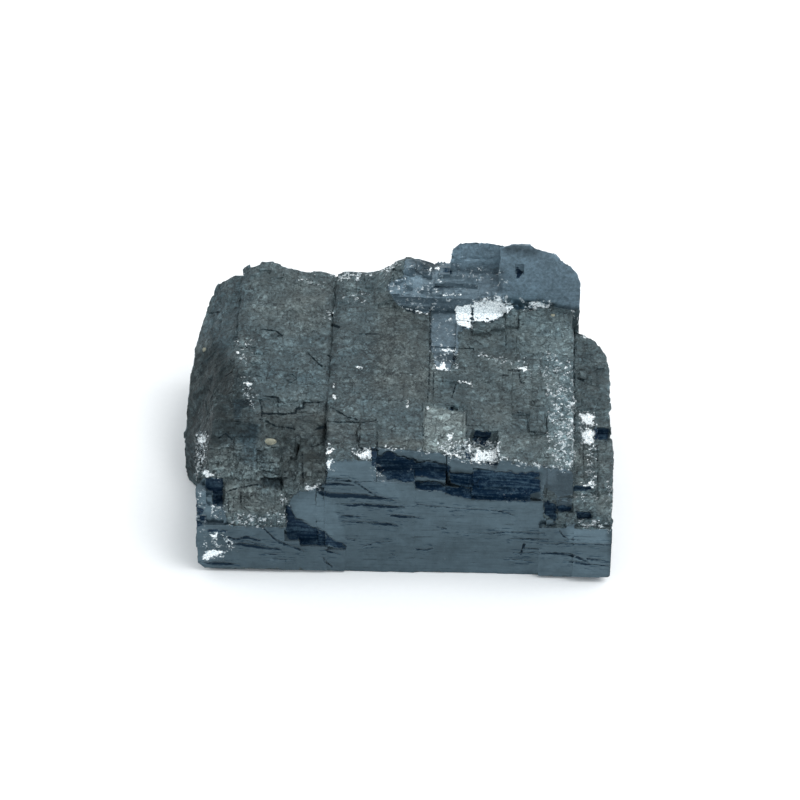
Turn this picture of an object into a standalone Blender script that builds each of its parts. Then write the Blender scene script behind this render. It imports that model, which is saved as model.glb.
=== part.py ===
"""Galena cleavage specimen, one natural piece of lead sulphide.

The lump broke along the three cubic cleavages of the crystal, so nearly every
surface is a flat face square to the others, and the rest is stairs of such faces.
X runs along the length, Y to the back and Z up. The lump rests on its cleaved
base, and the origin is the middle of that base. All lengths below are millimetres.
"""

import math
import random

import bmesh
import bpy
from mathutils import Matrix, Vector

MM = 0.001
# A helper's face that is bent by more than this angle is split in flat ones.
FLAT = math.radians(0.02)

# The lump as a whole.
LEFT, RIGHT = -37.5, 37.5
FRONT, BACK = -26.0, 26.0
# Blocks reach down and inwards to here, and cutters out to here, so that they overlap well.
BURIED = -1.0
INSIDE_FRONT, INSIDE_BACK = -12.0, 10.0
OUTSIDE_FRONT, OUTSIDE_BACK = -27.0, 30.0
OVER_PLATE = 28.0

# The weathered plate that makes most of the top.
PLATE_LEFT, PLATE_RIGHT = -11.7, 30.5
PLATE_BACK = 25.4
PLATE_TOP = 24.95
PLATE_FALL_TO_RIGHT = 0.026
PLATE_RISE_TO_BACK = 0.022

# The fresh front face, from its lower slab to the ledges under the plate's edge.
FACE = -24.5
SLAB_FRONT, SLAB_TOP = -25.4, 6.1
LEDGE_TOPS = (20.6, 18.8, 18.0, 17.0)
LEDGE_ENDS = (-2.9, 3.7, 8.9, 13.3, 25.3)

# The left column, its stairs towards the front and the flank outside it.
COLUMN_LEFT = -28.4
CORNER_LEFT = -33.7
CORNER_LEDGE = 14.5
FRONT_BLOCK_TOP = 19.1
STAIR_FOOT, STAIR_HEAD = 19.3, 23.3
STAIR_STEPS = 5
STAIR_SEED = 11
DOME_CROWN = 1.1
BACK_HUMP = 2.4

# The terrace on the right and the slab below it.
TERRACE_TOP = 19.8
RIGHT_SLAB_FRONT, RIGHT_SLAB_TOP = -26.0, 12.3

# The ridge and the raised block at the back.
RIDGE_FRONT, RIDGE_CREST = 16.1, 21.4
RIDGE_LEDGE, RIDGE_TOP = 28.4, 30.9
RIDGE_HUMP = 1.9
BLOCK_FRONT, BLOCK_TOP = 17.5, 39.5
BLOCK_LEFT, BLOCK_RIGHT = 8.6, 31.6
BLOCK_FALL = 0.86
CROWN_FRONT = 20.7

# Small cleavage chips along the broken edges.
CHIP_SEED = 5
CHIP_ROOT = 4.0
CHIP_SQUAT = 0.7


def plate_height(x, y):
    """The plate dips a little to the right and rises a little to the back."""
    return PLATE_TOP - PLATE_FALL_TO_RIGHT * (x - 9.5) + PLATE_RISE_TO_BACK * (y + 21.0)


def bump(value, centre, width):
    """A smooth hump, one at its centre and fading to nothing about two widths away."""
    return math.exp(-(((value - centre) / width) ** 2))


def blend(value, low, high):
    """Zero up to low, one from high on, and smooth between them."""
    t = min(1.0, max(0.0, (value - low) / (high - low)))
    return t * t * (3 - 2 * t)


def solid(name, points, faces, group):
    """A closed helper solid from millimetre points, kept in the group that a Boolean reads."""
    mesh = bpy.data.meshes.new(name)
    mesh.from_pydata([[MM * c for c in p] for p in points], [], faces)
    bm = bmesh.new()
    bm.from_mesh(mesh)
    bmesh.ops.recalc_face_normals(bm, faces=bm.faces)
    bmesh.ops.connect_verts_nonplanar(bm, angle_limit=FLAT, faces=bm.faces)
    bm.to_mesh(mesh)
    bm.free()
    helper = bpy.data.objects.new(name, mesh)
    helper.hide_render = True
    helper.display_type = "WIRE"
    group.objects.link(helper)
    return helper


def prism(name, outline, top, group, bottom=None):
    """A straight-sided block on a plan outline. Top and bottom are heights, or functions of x and y."""
    if bottom is None:
        bottom = BURIED - 0.03 * len(group.objects)
    count = len(outline)
    low = bottom if callable(bottom) else lambda x, y: bottom
    high = top if callable(top) else lambda x, y: top
    points = [(x, y, low(x, y)) for x, y in outline] + [(x, y, high(x, y)) for x, y in outline]
    faces = [list(range(count)), list(range(count, 2 * count))]
    for i in range(count):
        j = (i + 1) % count
        faces.append([i, j, count + j, count + i])
    return solid(name, points, faces, group)


def box(name, x, y, top, group, bottom=None):
    """A block whose sides follow two of the cleavages."""
    outline = [(x[0], y[0]), (x[1], y[0]), (x[1], y[1]), (x[0], y[1])]
    return prism(name, outline, top, group, bottom)


def patch(name, xs, ys, height, group):
    """A block whose top is a gently curved sheet, given as a height at each x and y."""
    bottom = BURIED - 0.03 * len(group.objects)
    columns, rows = len(xs), len(ys)
    points = [(x, y, height(x, y)) for y in ys for x in xs]
    rim = list(range(columns))
    rim += [r * columns + columns - 1 for r in range(1, rows)]
    rim += [(rows - 1) * columns + i for i in range(columns - 2, -1, -1)]
    rim += [r * columns for r in range(rows - 2, 0, -1)]
    base = len(points)
    points += [(points[i][0], points[i][1], bottom) for i in rim]
    faces = []
    for r in range(rows - 1):
        for c in range(columns - 1):
            i = r * columns + c
            faces.append([i, i + 1, i + columns + 1, i + columns])
    for k in range(len(rim)):
        n = (k + 1) % len(rim)
        faces.append([rim[k], base + k, base + n, rim[n]])
    faces.append([base + k for k in range(len(rim))])
    return solid(name, points, faces, group)


def loft(name, sections, group):
    """A solid skinned over a row of sections that have the same number of points."""
    count = len(sections[0])
    points = [p for section in sections for p in section]
    faces = [list(range(count)), list(range(len(points) - count, len(points)))]
    for s in range(len(sections) - 1):
        for i in range(count):
            j = (i + 1) % count
            faces.append([s * count + i, s * count + j, (s + 1) * count + j, (s + 1) * count + i])
    return solid(name, points, faces, group)


def spread(start, end, count):
    """Evenly spaced values, both ends included."""
    return [start + (end - start) * i / (count - 1) for i in range(count)]


def rising(height, slope, front):
    """The height of a flat face that starts at this height at its front edge and rises to the back."""
    return lambda x, y: height + slope * (y - front)


def turned(helper, degrees, axis, pivot):
    """Turns a helper about one axis through a millimetre point."""
    place = Vector([MM * c for c in pivot])
    spin = Matrix.Rotation(math.radians(degrees), 4, axis)
    helper.data.transform(Matrix.Translation(place) @ spin @ Matrix.Translation(-place))
    return helper


def main_plate(blocks):
    """The big weathered plate. Its broken front edge is set back over the ledges."""
    outline = [
        (PLATE_LEFT, FACE),
        (-2.9, FACE),
        (-2.9, -21.5),
        (3.7, -21.1),
        (8.9, -21.3),
        (9.1, -22.0),
        (17.7, -23.0),
        (25.4, -24.1),
        (PLATE_RIGHT, -24.8),
        (PLATE_RIGHT, PLATE_BACK),
        (PLATE_LEFT, PLATE_BACK),
    ]
    prism("main_plate", outline, plate_height, blocks)


def plate_steps(blocks, cuts):
    """Thin cleavage plates left standing on the main plate, and shallow places where they broke away."""

    def raised(amount):
        return lambda x, y: plate_height(x, y) + amount

    standing = [
        ((12.7, 15.8), (10.1, 16.5), 0.8),
        ((15.6, 18.5), (10.6, 16.6), 1.0),
        ((18.3, 20.8), (11.9, 17.4), 0.7),
        ((23.0, 25.7), (-16.0, -9.2), 0.5),
        ((20.0, 23.2), (-11.0, -0.2), 0.35),
        ((-11.6, -6.3), (-24.3, -13.9), 0.25),
        ((-6.0, -2.95), (-24.2, -13.8), 0.4),
        ((26.2, 30.3), (-24.6, 3.0), 0.3),
    ]
    for i, (x, y, amount) in enumerate(standing):
        box(f"standing_plate_{i + 1}", x, y, raised(amount), blocks)
    broken = [
        ((5.3, 10.0), (6.6, 16.0), 0.55),
        ((5.6, 9.9), (2.6, 6.8), 0.9),
        ((5.1, 11.6), (-24.0, -9.2), 0.35),
        ((9.5, 18.8), (13.4, 16.2), 0.5),
        ((9.3, 10.7), (-10.2, -9.3), 1.2),
        ((9.4, 10.4), (2.9, 3.9), 1.3),
        ((-9.9, -7.4), (18.6, 20.8), 0.4),
    ]
    for i, (x, y, depth) in enumerate(broken):
        box(f"broken_plate_{i + 1}", x, y, OVER_PLATE, cuts, raised(-depth))


def front_face(blocks, cuts):
    """The fresh front face. Stepped ledges run under the plate's edge, lower towards the right."""
    ends, tops = LEDGE_ENDS, LEDGE_TOPS
    box("face_left", (PLATE_LEFT + 0.2, ends[1]), (FACE - 0.1, INSIDE_FRONT), tops[0], blocks)
    for i in (1, 2, 3):
        box(f"face_{i}", (ends[i] - 0.1, ends[i + 1]), (FACE + 0.06 * i, INSIDE_FRONT), tops[i], blocks)
    box("upper_ledge", (ends[1] - 0.2, ends[2]), (-23.2, INSIDE_FRONT), 20.9, blocks)
    box("fine_ledge_1", (ends[3], 24.9), (-23.75, INSIDE_FRONT), 18.9, blocks)
    box("fine_ledge_2", (ends[3] + 1.2, 24.6), (-23.35, INSIDE_FRONT), 20.7, blocks)
    box("fine_ledge_3", (ends[3] + 0.2, 20.0), (-23.1, INSIDE_FRONT), 22.3, blocks)
    box("edge_notch", (13.1, 17.6), (OUTSIDE_FRONT, -15.5), OVER_PLATE, cuts, 22.6)
    box("edge_notch_floor", (9.4, 13.3), (OUTSIDE_FRONT, -19.8), OVER_PLATE, cuts, 23.9)


def lower_slab(blocks):
    """The slab along the foot of the front, which stands proud in stairs at the left."""
    box("slab_1", (CORNER_LEFT + 0.1, -18.6), (SLAB_FRONT, INSIDE_FRONT), SLAB_TOP + 4.6, blocks)
    box("slab_2", (-18.8, -16.0), (SLAB_FRONT + 0.05, INSIDE_FRONT), SLAB_TOP + 1.2, blocks)
    box("slab_3", (-16.2, -11.3), (SLAB_FRONT + 0.12, INSIDE_FRONT), SLAB_TOP, blocks)
    box("slab_4", (-11.5, -8.2), (SLAB_FRONT + 0.35, INSIDE_FRONT), SLAB_TOP - 0.8, blocks)
    box("face_step_1", (-18.8, -11.1), (-23.2, INSIDE_FRONT), 19.3, blocks)
    box("face_step_2", (-13.0, -8.6), (-24.1, INSIDE_FRONT), 18.0, blocks)


def left_front(blocks):
    """The lower block at the front left, and the stairs that climb from it to the column."""

    def arched(x, y):
        return FRONT_BLOCK_TOP + 0.1 - 0.02 * (x + 22.3) ** 2

    patch("front_block", spread(-28.9, -18.7, 8), [-25.05, -20.0, -15.0], arched, blocks)
    box("corner", (CORNER_LEFT, -28.7), (-24.7, INSIDE_FRONT), CORNER_LEDGE, blocks)
    box("corner_wall", (CORNER_LEFT + 0.05, -31.9), (-24.5, -14.0), rising(16.9, 0.2, -24.5), blocks)
    box("corner_back", (CORNER_LEFT + 0.1, -28.7), (-21.3, INSIDE_FRONT), rising(18.2, 0.12, -21.3), blocks)
    box("block_c", (-19.0, -16.0), (-23.6, INSIDE_FRONT), 21.4, blocks)
    box("block_d", (-16.2, -11.5), (-23.7, INSIDE_FRONT), 23.4, blocks)
    draw = random.Random(STAIR_SEED)
    rise = (STAIR_HEAD - STAIR_FOOT) / STAIR_STEPS
    for i in range(STAIR_STEPS):
        top = STAIR_FOOT + rise * (i + 1)
        edges = [-32.8 + 0.3 * i, -27.6 + draw.uniform(-1.5, 1.5), -22.2 + draw.uniform(-1.5, 1.5), -16.6]
        for k in range(3):
            front = -23.0 + 0.75 * i + draw.uniform(-0.3, 0.45)
            height = top + draw.uniform(-0.25, 0.15)
            box(f"stair_{i + 1}_{k + 1}", (edges[k], edges[k + 1] + 0.1), (front, -6.0), height, blocks)
    treads = [
        ((-31.6, -12.2), (-17.2, -7.5), 23.7),
        ((-30.9, -18.6), (-14.2, -6.5), 24.1),
        ((-18.8, -11.9), (-17.9, 0.0), 24.3),
        ((-25.4, -12.1), (-11.6, 0.5), 24.6),
        ((-23.3, -20.3), (-13.3, -9.0), 24.7),
        ((-18.2, -11.8), (-9.4, 1.0), 25.0),
        ((-15.6, -11.9), (-7.3, 1.5), 25.3),
    ]
    for i, (x, y, top) in enumerate(treads):
        box(f"tread_{i + 1}", x, y, rising(top, 0.02, y[0]), blocks)


def column_height(x, y):
    """The column's top is gently domed and lifts to a hump at its back edge."""
    across = 1 - ((x + 20.2) / 9.5) ** 2
    along = blend(y, -12.0, 4.0)
    hump = BACK_HUMP * bump(x, -24.4, 4.2) * blend(y, 15.0, 25.5)
    return 24.9 + DOME_CROWN * max(across, -0.4) * along + 0.5 * blend(y, -8.0, 20.0) + hump


def left_column(blocks):
    """The convex weathered column left of the valley."""
    patch("column", spread(COLUMN_LEFT, -11.9, 9), spread(-8.6, 25.7, 11), column_height, blocks)


def left_flank(blocks):
    """The dark flank that falls from the column to the left, cut square near the front."""
    # Each station is its y, the outer edge's x and height, and the height of the bend half way in.
    stations = [
        (-12.0, -33.2, 17.6, 19.9),
        (-7.0, -33.8, 15.8, 20.6),
        (-3.6, -35.4, 12.6, 20.4),
        (-0.8, LEFT, 9.0, 19.8),
        (4.0, -37.4, 12.9, 20.8),
        (10.0, -36.9, 15.6, 21.9),
        (15.0, -36.1, 17.4, 22.8),
        (20.0, -34.8, 19.8, 23.7),
        (25.6, -32.9, 23.2, 25.0),
    ]
    sections = []
    for y, edge_x, edge_z, bend_z in stations:
        inner_x = -27.6
        middle_x = 0.45 * edge_x + 0.55 * inner_x
        section = [(edge_x, y, BURIED - 0.4), (edge_x, y, edge_z), (middle_x, y, bend_z)]
        section += [(inner_x, y, 24.7), (inner_x, y, BURIED - 0.4)]
        sections.append(section)
    loft("flank", sections, blocks)


def right_terrace(blocks, cuts):
    """The terrace on the right, a step lower than the plate, with its broken back corner."""
    outline = [
        (29.8, -23.4),
        (RIGHT - 0.05, -23.4),
        (RIGHT - 0.1, -14.0),
        (37.1, -1.3),
        (36.9, 8.6),
        (36.2, 11.9),
        (34.9, 15.2),
        (32.4, 17.5),
        (29.8, 17.5),
    ]
    prism("terrace", outline, TERRACE_TOP, blocks)
    box("terrace_edge", (29.7, RIGHT - 0.05), (-25.1, -10.0), TERRACE_TOP - 1.5, blocks)
    box("right_slab", (31.0, RIGHT), (RIGHT_SLAB_FRONT, -10.0), RIGHT_SLAB_TOP, blocks)
    box("right_slab_inner", (25.1, 31.2), (-25.2, -10.0), RIGHT_SLAB_TOP - 0.6, blocks)
    box("right_face", (25.2, 30.4), (-24.2, -10.0), 18.0, blocks)
    box("terrace_notch", (34.9, 38.0), (-11.0, -7.9), TERRACE_TOP + 2, cuts, TERRACE_TOP - 1.6)
    box("terrace_slot", (31.4, 34.0), (OUTSIDE_FRONT, -24.2), 15.4, cuts, 13.5)
    box("face_pocket_1", (25.8, 28.2), (OUTSIDE_FRONT, -24.0), 17.6, cuts, 12.9)
    box("face_pocket_2", (28.0, 30.6), (OUTSIDE_FRONT, -24.3), 17.3, cuts, 15.2)


def ridge_height(x, y):
    """A rough ridge: a ledge along its front, a crest with one hump, and a fall to the back."""
    crest = RIDGE_LEDGE + (RIDGE_TOP - RIDGE_LEDGE) * blend(y, RIDGE_FRONT + 0.4, RIDGE_CREST)
    crest += RIDGE_HUMP * bump(x, 1.4, 2.6) * bump(y, RIDGE_CREST, 3.4)
    fall = 2.9 * blend(y, RIDGE_CREST + 0.3, BACK)
    low = plate_height(x, y) - 0.4
    return low + (crest - fall - low) * blend(x, -6.2, -0.6)


def back_ridge(blocks):
    """The fresh ledge and rough ridge behind the plate."""
    patch("ridge", spread(-7.0, 18.4, 14), spread(RIDGE_FRONT, BACK - 0.2, 8), ridge_height, blocks)
    box("ridge_lip", (-0.6, 17.6), (15.5, 22.0), lambda x, y: plate_height(x, y) + 1.1, blocks)
    box("ridge_step", (6.0, 13.4), (18.2, 24.0), RIDGE_LEDGE + 1.9, blocks)


def raised_block(blocks, cuts):
    """The tall block at the back right, with its rounded right shoulder."""
    shoulder = [
        (17.3, 38.9),
        (18.6, BLOCK_TOP - 0.1),
        (22.6, BLOCK_TOP),
        (24.4, BLOCK_TOP - 1.0),
        (26.5, BLOCK_TOP - 1.6),
        (27.9, BLOCK_TOP - 3.0),
        (29.6, BLOCK_TOP - 4.3),
        (31.0, BLOCK_TOP - 6.4),
        (BLOCK_RIGHT, BLOCK_TOP - 8.2),
    ]
    crown = [
        (BLOCK_LEFT, 33.2),
        (BLOCK_LEFT + 0.3, 35.6),
        (BLOCK_LEFT + 1.6, 37.1),
        (BLOCK_LEFT + 4.6, 37.5),
        (18.0, 36.9),
    ]
    box("block_pit", (20.0, 21.6), (BLOCK_FRONT - 1, BLOCK_FRONT + 0.8), 35.3, cuts, 33.0)
    halves = [("tall_block", shoulder, BLOCK_FRONT), ("tall_block_left", crown, CROWN_FRONT)]
    for name, top, front in halves:
        sections = []
        for y in (front, front + 0.9, front + 0.5 * (BACK - front), BACK - 1.1, BACK):
            drop = BLOCK_FALL * (y - front) + 1.6 * blend(y, BACK - 1.1, BACK)
            low = BURIED - 0.03 * front
            ring = [(top[0][0], y, low)] + [(x, y, z - drop) for x, z in top] + [(top[-1][0], y, low)]
            sections.append(ring)
        loft(name, sections, blocks)


def back_face(blocks, cuts):
    """Cleaved steps down the back and the right side."""
    box("back_slab_1", (-33.0, -9.0), (INSIDE_BACK, BACK), 13.4, blocks)
    box("back_slab_2", (-9.3, 12.0), (INSIDE_BACK, BACK - 0.35), 18.6, blocks)
    box("back_slab_3", (11.6, 24.0), (INSIDE_BACK, BACK - 0.15), 23.0, blocks)
    box("back_notch_1", (-27.0, -16.0), (25.1, OUTSIDE_BACK), 30.0, cuts, 19.0)
    box("back_notch_2", (-3.0, 5.5), (24.6, OUTSIDE_BACK), 12.0, cuts, 4.5)
    box("back_notch_3", (20.5, 33.0), (24.7, OUTSIDE_BACK), 30.5, cuts, 17.2)
    box("side_notch_1", (36.2, 40.0), (-9.0, 6.0), 11.5, cuts, 4.0)
    box("side_notch_2", (-40.0, -36.3), (1.5, 9.5), 9.0, cuts, 3.0)


def chips(name, count, x, y, surface, size, rise, draw, blocks):
    """Small square chips on part of the top. Each stands a little over the surface below it."""
    for i in range(count):
        px = draw.uniform(*x)
        py = draw.uniform(*y)
        half_x = draw.uniform(*size) / 2
        half_y = draw.uniform(*size) / 2
        top = (surface(px, py) if callable(surface) else surface) + draw.uniform(*rise)
        span_x = (px - half_x, px + half_x)
        span_y = (py - half_y, py + half_y)
        box(f"{name}_{i + 1}", span_x, span_y, top, blocks, top - CHIP_ROOT - 0.01 * i)


def wall_chips(name, count, axis, face, along, z, size, proud, draw, blocks):
    """Small square chips on an upright face. Axis is the one that the face looks along."""
    for i in range(count):
        centre = draw.uniform(*along)
        low = draw.uniform(*z)
        half = draw.uniform(*size) / 2
        tall = draw.uniform(*size) * CHIP_SQUAT
        reach = face + math.copysign(draw.uniform(*proud), face)
        root = face - math.copysign(CHIP_ROOT, face)
        deep = (min(reach, root), max(reach, root))
        span = (centre - half, centre + half)
        x, y = (deep, span) if axis == "X" else (span, deep)
        box(f"{name}_{i + 1}", x, y, low + tall, blocks, low)


def broken_edges(blocks):
    """The chips that are left where the edges crumbled."""
    draw = random.Random(CHIP_SEED)
    # Each row is a name, how many, the span in x and in y, what they stand on, their size and rise.
    on_top = [
        ("plate_back_chip", 8, (-11.0, -2.0), (21.5, 24.4), plate_height, (0.8, 2.6), (0.1, 0.5)),
        ("column_back_chip", 9, (-27.0, -12.5), (21.5, 24.6), column_height, (0.8, 2.6), (0.1, 0.45)),
        ("notch_chip", 9, (10.0, 18.5), (-21.0, -16.5), 22.9, (0.7, 1.8), (0.0, 1.3)),
        ("right_chip", 18, (24.5, 30.0), (-22.0, 4.0), plate_height, (0.8, 2.4), (0.15, 0.55)),
        ("ridge_chip", 12, (-1.0, 8.0), (17.0, 20.4), ridge_height, (0.9, 2.6), (0.1, 0.5)),
        ("terrace_chip", 12, (31.0, 35.5), (-22.0, 12.0), TERRACE_TOP, (1.0, 3.0), (0.1, 0.4)),
        ("terrace_edge_chip", 4, (30.8, 36.0), (-24.4, -23.0), TERRACE_TOP - 1.5, (0.8, 1.8), (0.2, 1.0)),
        ("corner_chip", 7, (-33.0, -29.4), (-23.8, -20.5), CORNER_LEDGE, (0.8, 1.8), (0.2, 2.0)),
        ("column_chip", 8, (-27.5, -24.0), (-7.0, 8.0), column_height, (0.9, 2.4), (0.0, 0.4)),
    ]
    for name, count, x, y, surface, size, rise in on_top:
        chips(name, count, x, y, surface, size, rise, draw, blocks)
    # Each row is a name, how many, the way the face looks, where it is, the span along it and in z.
    on_walls = [
        ("back_wall_chip", 26, "Y", BACK - 0.6, (-30.0, 29.0), (2.0, 21.0), (1.5, 6.0), (0.1, 0.55)),
        ("right_wall_chip", 14, "X", RIGHT - 1.0, (-23.0, 8.0), (1.5, 15.0), (1.5, 5.0), (0.1, 0.55)),
        ("corner_wall_chip", 8, "X", CORNER_LEFT, (-23.5, -9.0), (2.0, 12.0), (1.2, 4.0), (0.05, 0.3)),
    ]
    for name, count, axis, face, along, z, size, proud in on_walls:
        wall_chips(name, count, axis, face, along, z, size, proud, draw, blocks)


def base_cuts(cuts):
    """The flat cleaved base with shallow steps at its rim, and the worn corners along its edge."""
    box("base", (LEFT - 5, RIGHT + 5), (FRONT - 5, BACK + 5), 0.0, cuts, -6.0)
    steps = [
        ((-40.0, -24.0), (12.0, OUTSIDE_BACK), 0.7),
        ((14.0, 40.0), (16.5, OUTSIDE_BACK), 0.5),
        ((29.5, 40.0), (-6.0, 8.0), 0.9),
    ]
    for i, (x, y, depth) in enumerate(steps):
        box(f"base_step_{i + 1}", x, y, depth, cuts, -7.0 - i)
    corners = [
        ((CORNER_LEFT, FACE - 0.6, 0.0), 45, "Y", 2.0),
        ((RIGHT, FRONT, 0.0), -45, "Y", 1.7),
        ((0.0, SLAB_FRONT, 0.0), 45, "X", 0.75),
        ((0.0, BACK, 0.0), -45, "X", 1.5),
        ((LEFT, 0.0, 0.0), 45, "Y", 1.2),
    ]
    for i, (corner, degrees, axis, depth) in enumerate(corners):
        x, y, z = corner
        if axis == "Y":
            size = ((x - 60, x + 60), (-60.0, -14.0) if y else (-60.0, 60.0))
        else:
            size = ((-60.0, 60.0), (y - 60, y + 60))
        reach = depth / math.sqrt(2)
        cutter = box(f"worn_corner_{i + 1}", size[0], size[1], z + reach, cuts, z - 60.0 - i)
        lean = degrees if axis == "Y" else -degrees
        turned(cutter, lean, axis, (x, y, z))


def galena_material():
    """Lead-grey metal with the dull bloom of an old surface."""
    material = bpy.data.materials.new("galena")
    material.use_nodes = True
    shader = material.node_tree.nodes["Principled BSDF"]
    shader.inputs["Base Color"].default_value = (0.16, 0.19, 0.205, 1.0)
    shader.inputs["Metallic"].default_value = 0.85
    shader.inputs["Roughness"].default_value = 0.42
    return material


def galena():
    """Joins the blocks in one solid and takes the broken places out of it."""
    blocks = bpy.data.collections.new("cleavage_blocks")
    cuts = bpy.data.collections.new("broken_places")
    for group in (blocks, cuts):
        bpy.context.scene.collection.children.link(group)
    main_plate(blocks)
    plate_steps(blocks, cuts)
    front_face(blocks, cuts)
    lower_slab(blocks)
    left_front(blocks)
    left_column(blocks)
    left_flank(blocks)
    right_terrace(blocks, cuts)
    back_ridge(blocks)
    raised_block(blocks, cuts)
    back_face(blocks, cuts)
    broken_edges(blocks)
    base_cuts(cuts)

    core = bpy.data.collections.new("core")
    lump = box("galena", (-27.0, 29.0), (-21.0, 23.0), 17.3, core, BURIED)
    bpy.context.scene.collection.objects.link(lump)
    bpy.data.collections.remove(core)
    lump.hide_render = False
    lump.display_type = "TEXTURED"
    for name, operation, group in (("join", "UNION", blocks), ("break", "DIFFERENCE", cuts)):
        modifier = lump.modifiers.new(name, "BOOLEAN")
        modifier.operand_type = "COLLECTION"
        modifier.collection = group
        modifier.operation = operation
        modifier.solver = "EXACT"
    lump.data.materials.append(galena_material())
    return lump


for old in list(bpy.data.objects):
    bpy.data.objects.remove(old, do_unlink=True)
galena()
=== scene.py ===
import math
import bmesh
import bpy
import numpy as np
from mathutils import Matrix, Vector


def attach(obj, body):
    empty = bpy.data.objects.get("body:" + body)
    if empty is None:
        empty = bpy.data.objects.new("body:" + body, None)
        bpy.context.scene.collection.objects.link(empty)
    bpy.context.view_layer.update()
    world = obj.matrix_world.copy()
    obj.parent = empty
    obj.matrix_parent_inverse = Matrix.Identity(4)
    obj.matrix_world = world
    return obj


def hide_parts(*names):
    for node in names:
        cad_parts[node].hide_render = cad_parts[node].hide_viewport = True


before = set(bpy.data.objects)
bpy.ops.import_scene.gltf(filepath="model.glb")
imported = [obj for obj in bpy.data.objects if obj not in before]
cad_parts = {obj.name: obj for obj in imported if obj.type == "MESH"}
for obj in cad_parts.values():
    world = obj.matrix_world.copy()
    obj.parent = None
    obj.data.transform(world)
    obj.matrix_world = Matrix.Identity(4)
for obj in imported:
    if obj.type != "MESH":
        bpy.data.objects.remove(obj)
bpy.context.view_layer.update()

# The camera. It looks at the lump from 40 degrees above its front, a little from its right,
# through a long lens. The picture is 800 pixels wide.
PICTURE = 800
VIEW_AZIMUTH, VIEW_HEIGHT, VIEW_ROLL = math.radians(1.5), math.radians(40.0), math.radians(0.4)
VIEW_DISTANCE = 700.0
MM_PER_PIXEL = 0.174
VIEW_TARGET = np.array([0.5, -2.05, 20.0])
FOCAL_PIXELS = VIEW_DISTANCE / MM_PER_PIXEL

sin_az, cos_az = math.sin(VIEW_AZIMUTH), math.cos(VIEW_AZIMUTH)
sin_up, cos_up = math.sin(VIEW_HEIGHT), math.cos(VIEW_HEIGHT)
level_right = np.array([cos_az, sin_az, 0.0])
level_up = np.array([-sin_az * sin_up, cos_az * sin_up, cos_up])
view_back = np.array([sin_az * cos_up, -cos_az * cos_up, sin_up])
view_right = level_right * math.cos(VIEW_ROLL) + level_up * math.sin(VIEW_ROLL)
view_up = level_up * math.cos(VIEW_ROLL) - level_right * math.sin(VIEW_ROLL)
view_point = VIEW_TARGET + VIEW_DISTANCE * view_back

lens = bpy.data.cameras.new("camera")
lens.sensor_width = 36.0
lens.lens = FOCAL_PIXELS / PICTURE * lens.sensor_width
lens.clip_end = 30.0
camera = bpy.data.objects.new("camera", lens)
camera.matrix_world = Matrix([list(view_right), list(view_up), list(view_back)]).transposed().to_4x4()
camera.location = Vector(view_point / 1000)
bpy.context.scene.collection.objects.link(camera)
bpy.context.scene.camera = camera

# The lump itself, one piece of lead sulphide that has broken along its three square cleavages.
# Its solid is copied and laid over with a fine square net, which the later steps wear, crack
# and colour. The net is 0.16 mm wide, and sharp where two faces of the solid meet.
NET_DEPTH = 9
NET_FILL = 0.9
WELD_DISTANCE = 1e-6
SEAM_LEFT, SEAM_RIGHT = -12.35, -11.35
SEAM_SIDE = [(-14, 10), (25.3, 10), (25.3, 25.66), (2, 25.27), (-7.9, 25.2), (-8.4, 24.4), (-14, 24.2)]

lump_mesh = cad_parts["galena"].data.copy()
shell = bmesh.new()
shell.from_mesh(lump_mesh)
bmesh.ops.remove_doubles(shell, verts=shell.verts, dist=WELD_DISTANCE)
bmesh.ops.recalc_face_normals(shell, faces=shell.faces)
shell.to_mesh(lump_mesh)
shell.free()
lump = bpy.data.objects.new("galena_lump", lump_mesh)
bpy.context.scene.collection.objects.link(lump)


def settle(piece):
    """Make the mesh that the piece's modifiers give its own, and take the modifiers off."""
    view = bpy.context.evaluated_depsgraph_get()
    made = bpy.data.meshes.new_from_object(piece.evaluated_get(view), depsgraph=view)
    piece.modifiers.clear()
    old = piece.data
    piece.data = made
    bpy.data.meshes.remove(old)
    made.name = piece.name
    return made


# The column and the plate are one stone, so the fine seam between their tops is filled.
seam = bmesh.new()
rings = [[seam.verts.new((x / 1000, y / 1000, z / 1000)) for y, z in SEAM_SIDE]
         for x in (SEAM_LEFT, SEAM_RIGHT)]
seam.faces.new(rings[0][::-1])
seam.faces.new(rings[1])
for k in range(len(SEAM_SIDE)):
    after = (k + 1) % len(SEAM_SIDE)
    seam.faces.new((rings[0][k], rings[0][after], rings[1][after], rings[1][k]))
bmesh.ops.recalc_face_normals(seam, faces=seam.faces)
seam_mesh = bpy.data.meshes.new("seam")
seam.to_mesh(seam_mesh)
seam.free()
seam_fill = bpy.data.objects.new("seam", seam_mesh)
bpy.context.scene.collection.objects.link(seam_fill)
join = lump.modifiers.new("join", "BOOLEAN")
join.operation = "UNION"
join.solver = "EXACT"
join.object = seam_fill
lump_mesh = settle(lump)
bpy.data.objects.remove(seam_fill)
net = lump.modifiers.new("net", "REMESH")
net.mode = "SHARP"
net.octree_depth = NET_DEPTH
net.scale = NET_FILL
net.sharpness = 1.0
net.use_remove_disconnected = True
lump_mesh = settle(lump)


def read_points(mesh):
    """The mesh's corner points and their normals, in millimetres."""
    points = np.empty(len(mesh.vertices) * 3, np.float32)
    mesh.vertices.foreach_get("co", points)
    normals = np.empty(len(mesh.vertices) * 3, np.float32)
    mesh.vertex_normals.foreach_get("vector", normals)
    return points.reshape(-1, 3).astype(float) * 1000, normals.reshape(-1, 3).astype(float)


# Where a mark of the photograph is. Marks are given in the photograph's pixels, and fall on the
# surface that faces the camera there. Sides that face away get marks of the same kinds, which
# are laid out by chance in square blocks, as the stone's cleavage lays them.
MARK_REACH = 8.0
BARE_EDGE = (-1.0, 1.5)
BIG_BLOCKS, SMALL_BLOCKS = (9.0, 5.0, 21), (2.6, 1.3, 24)


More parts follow.
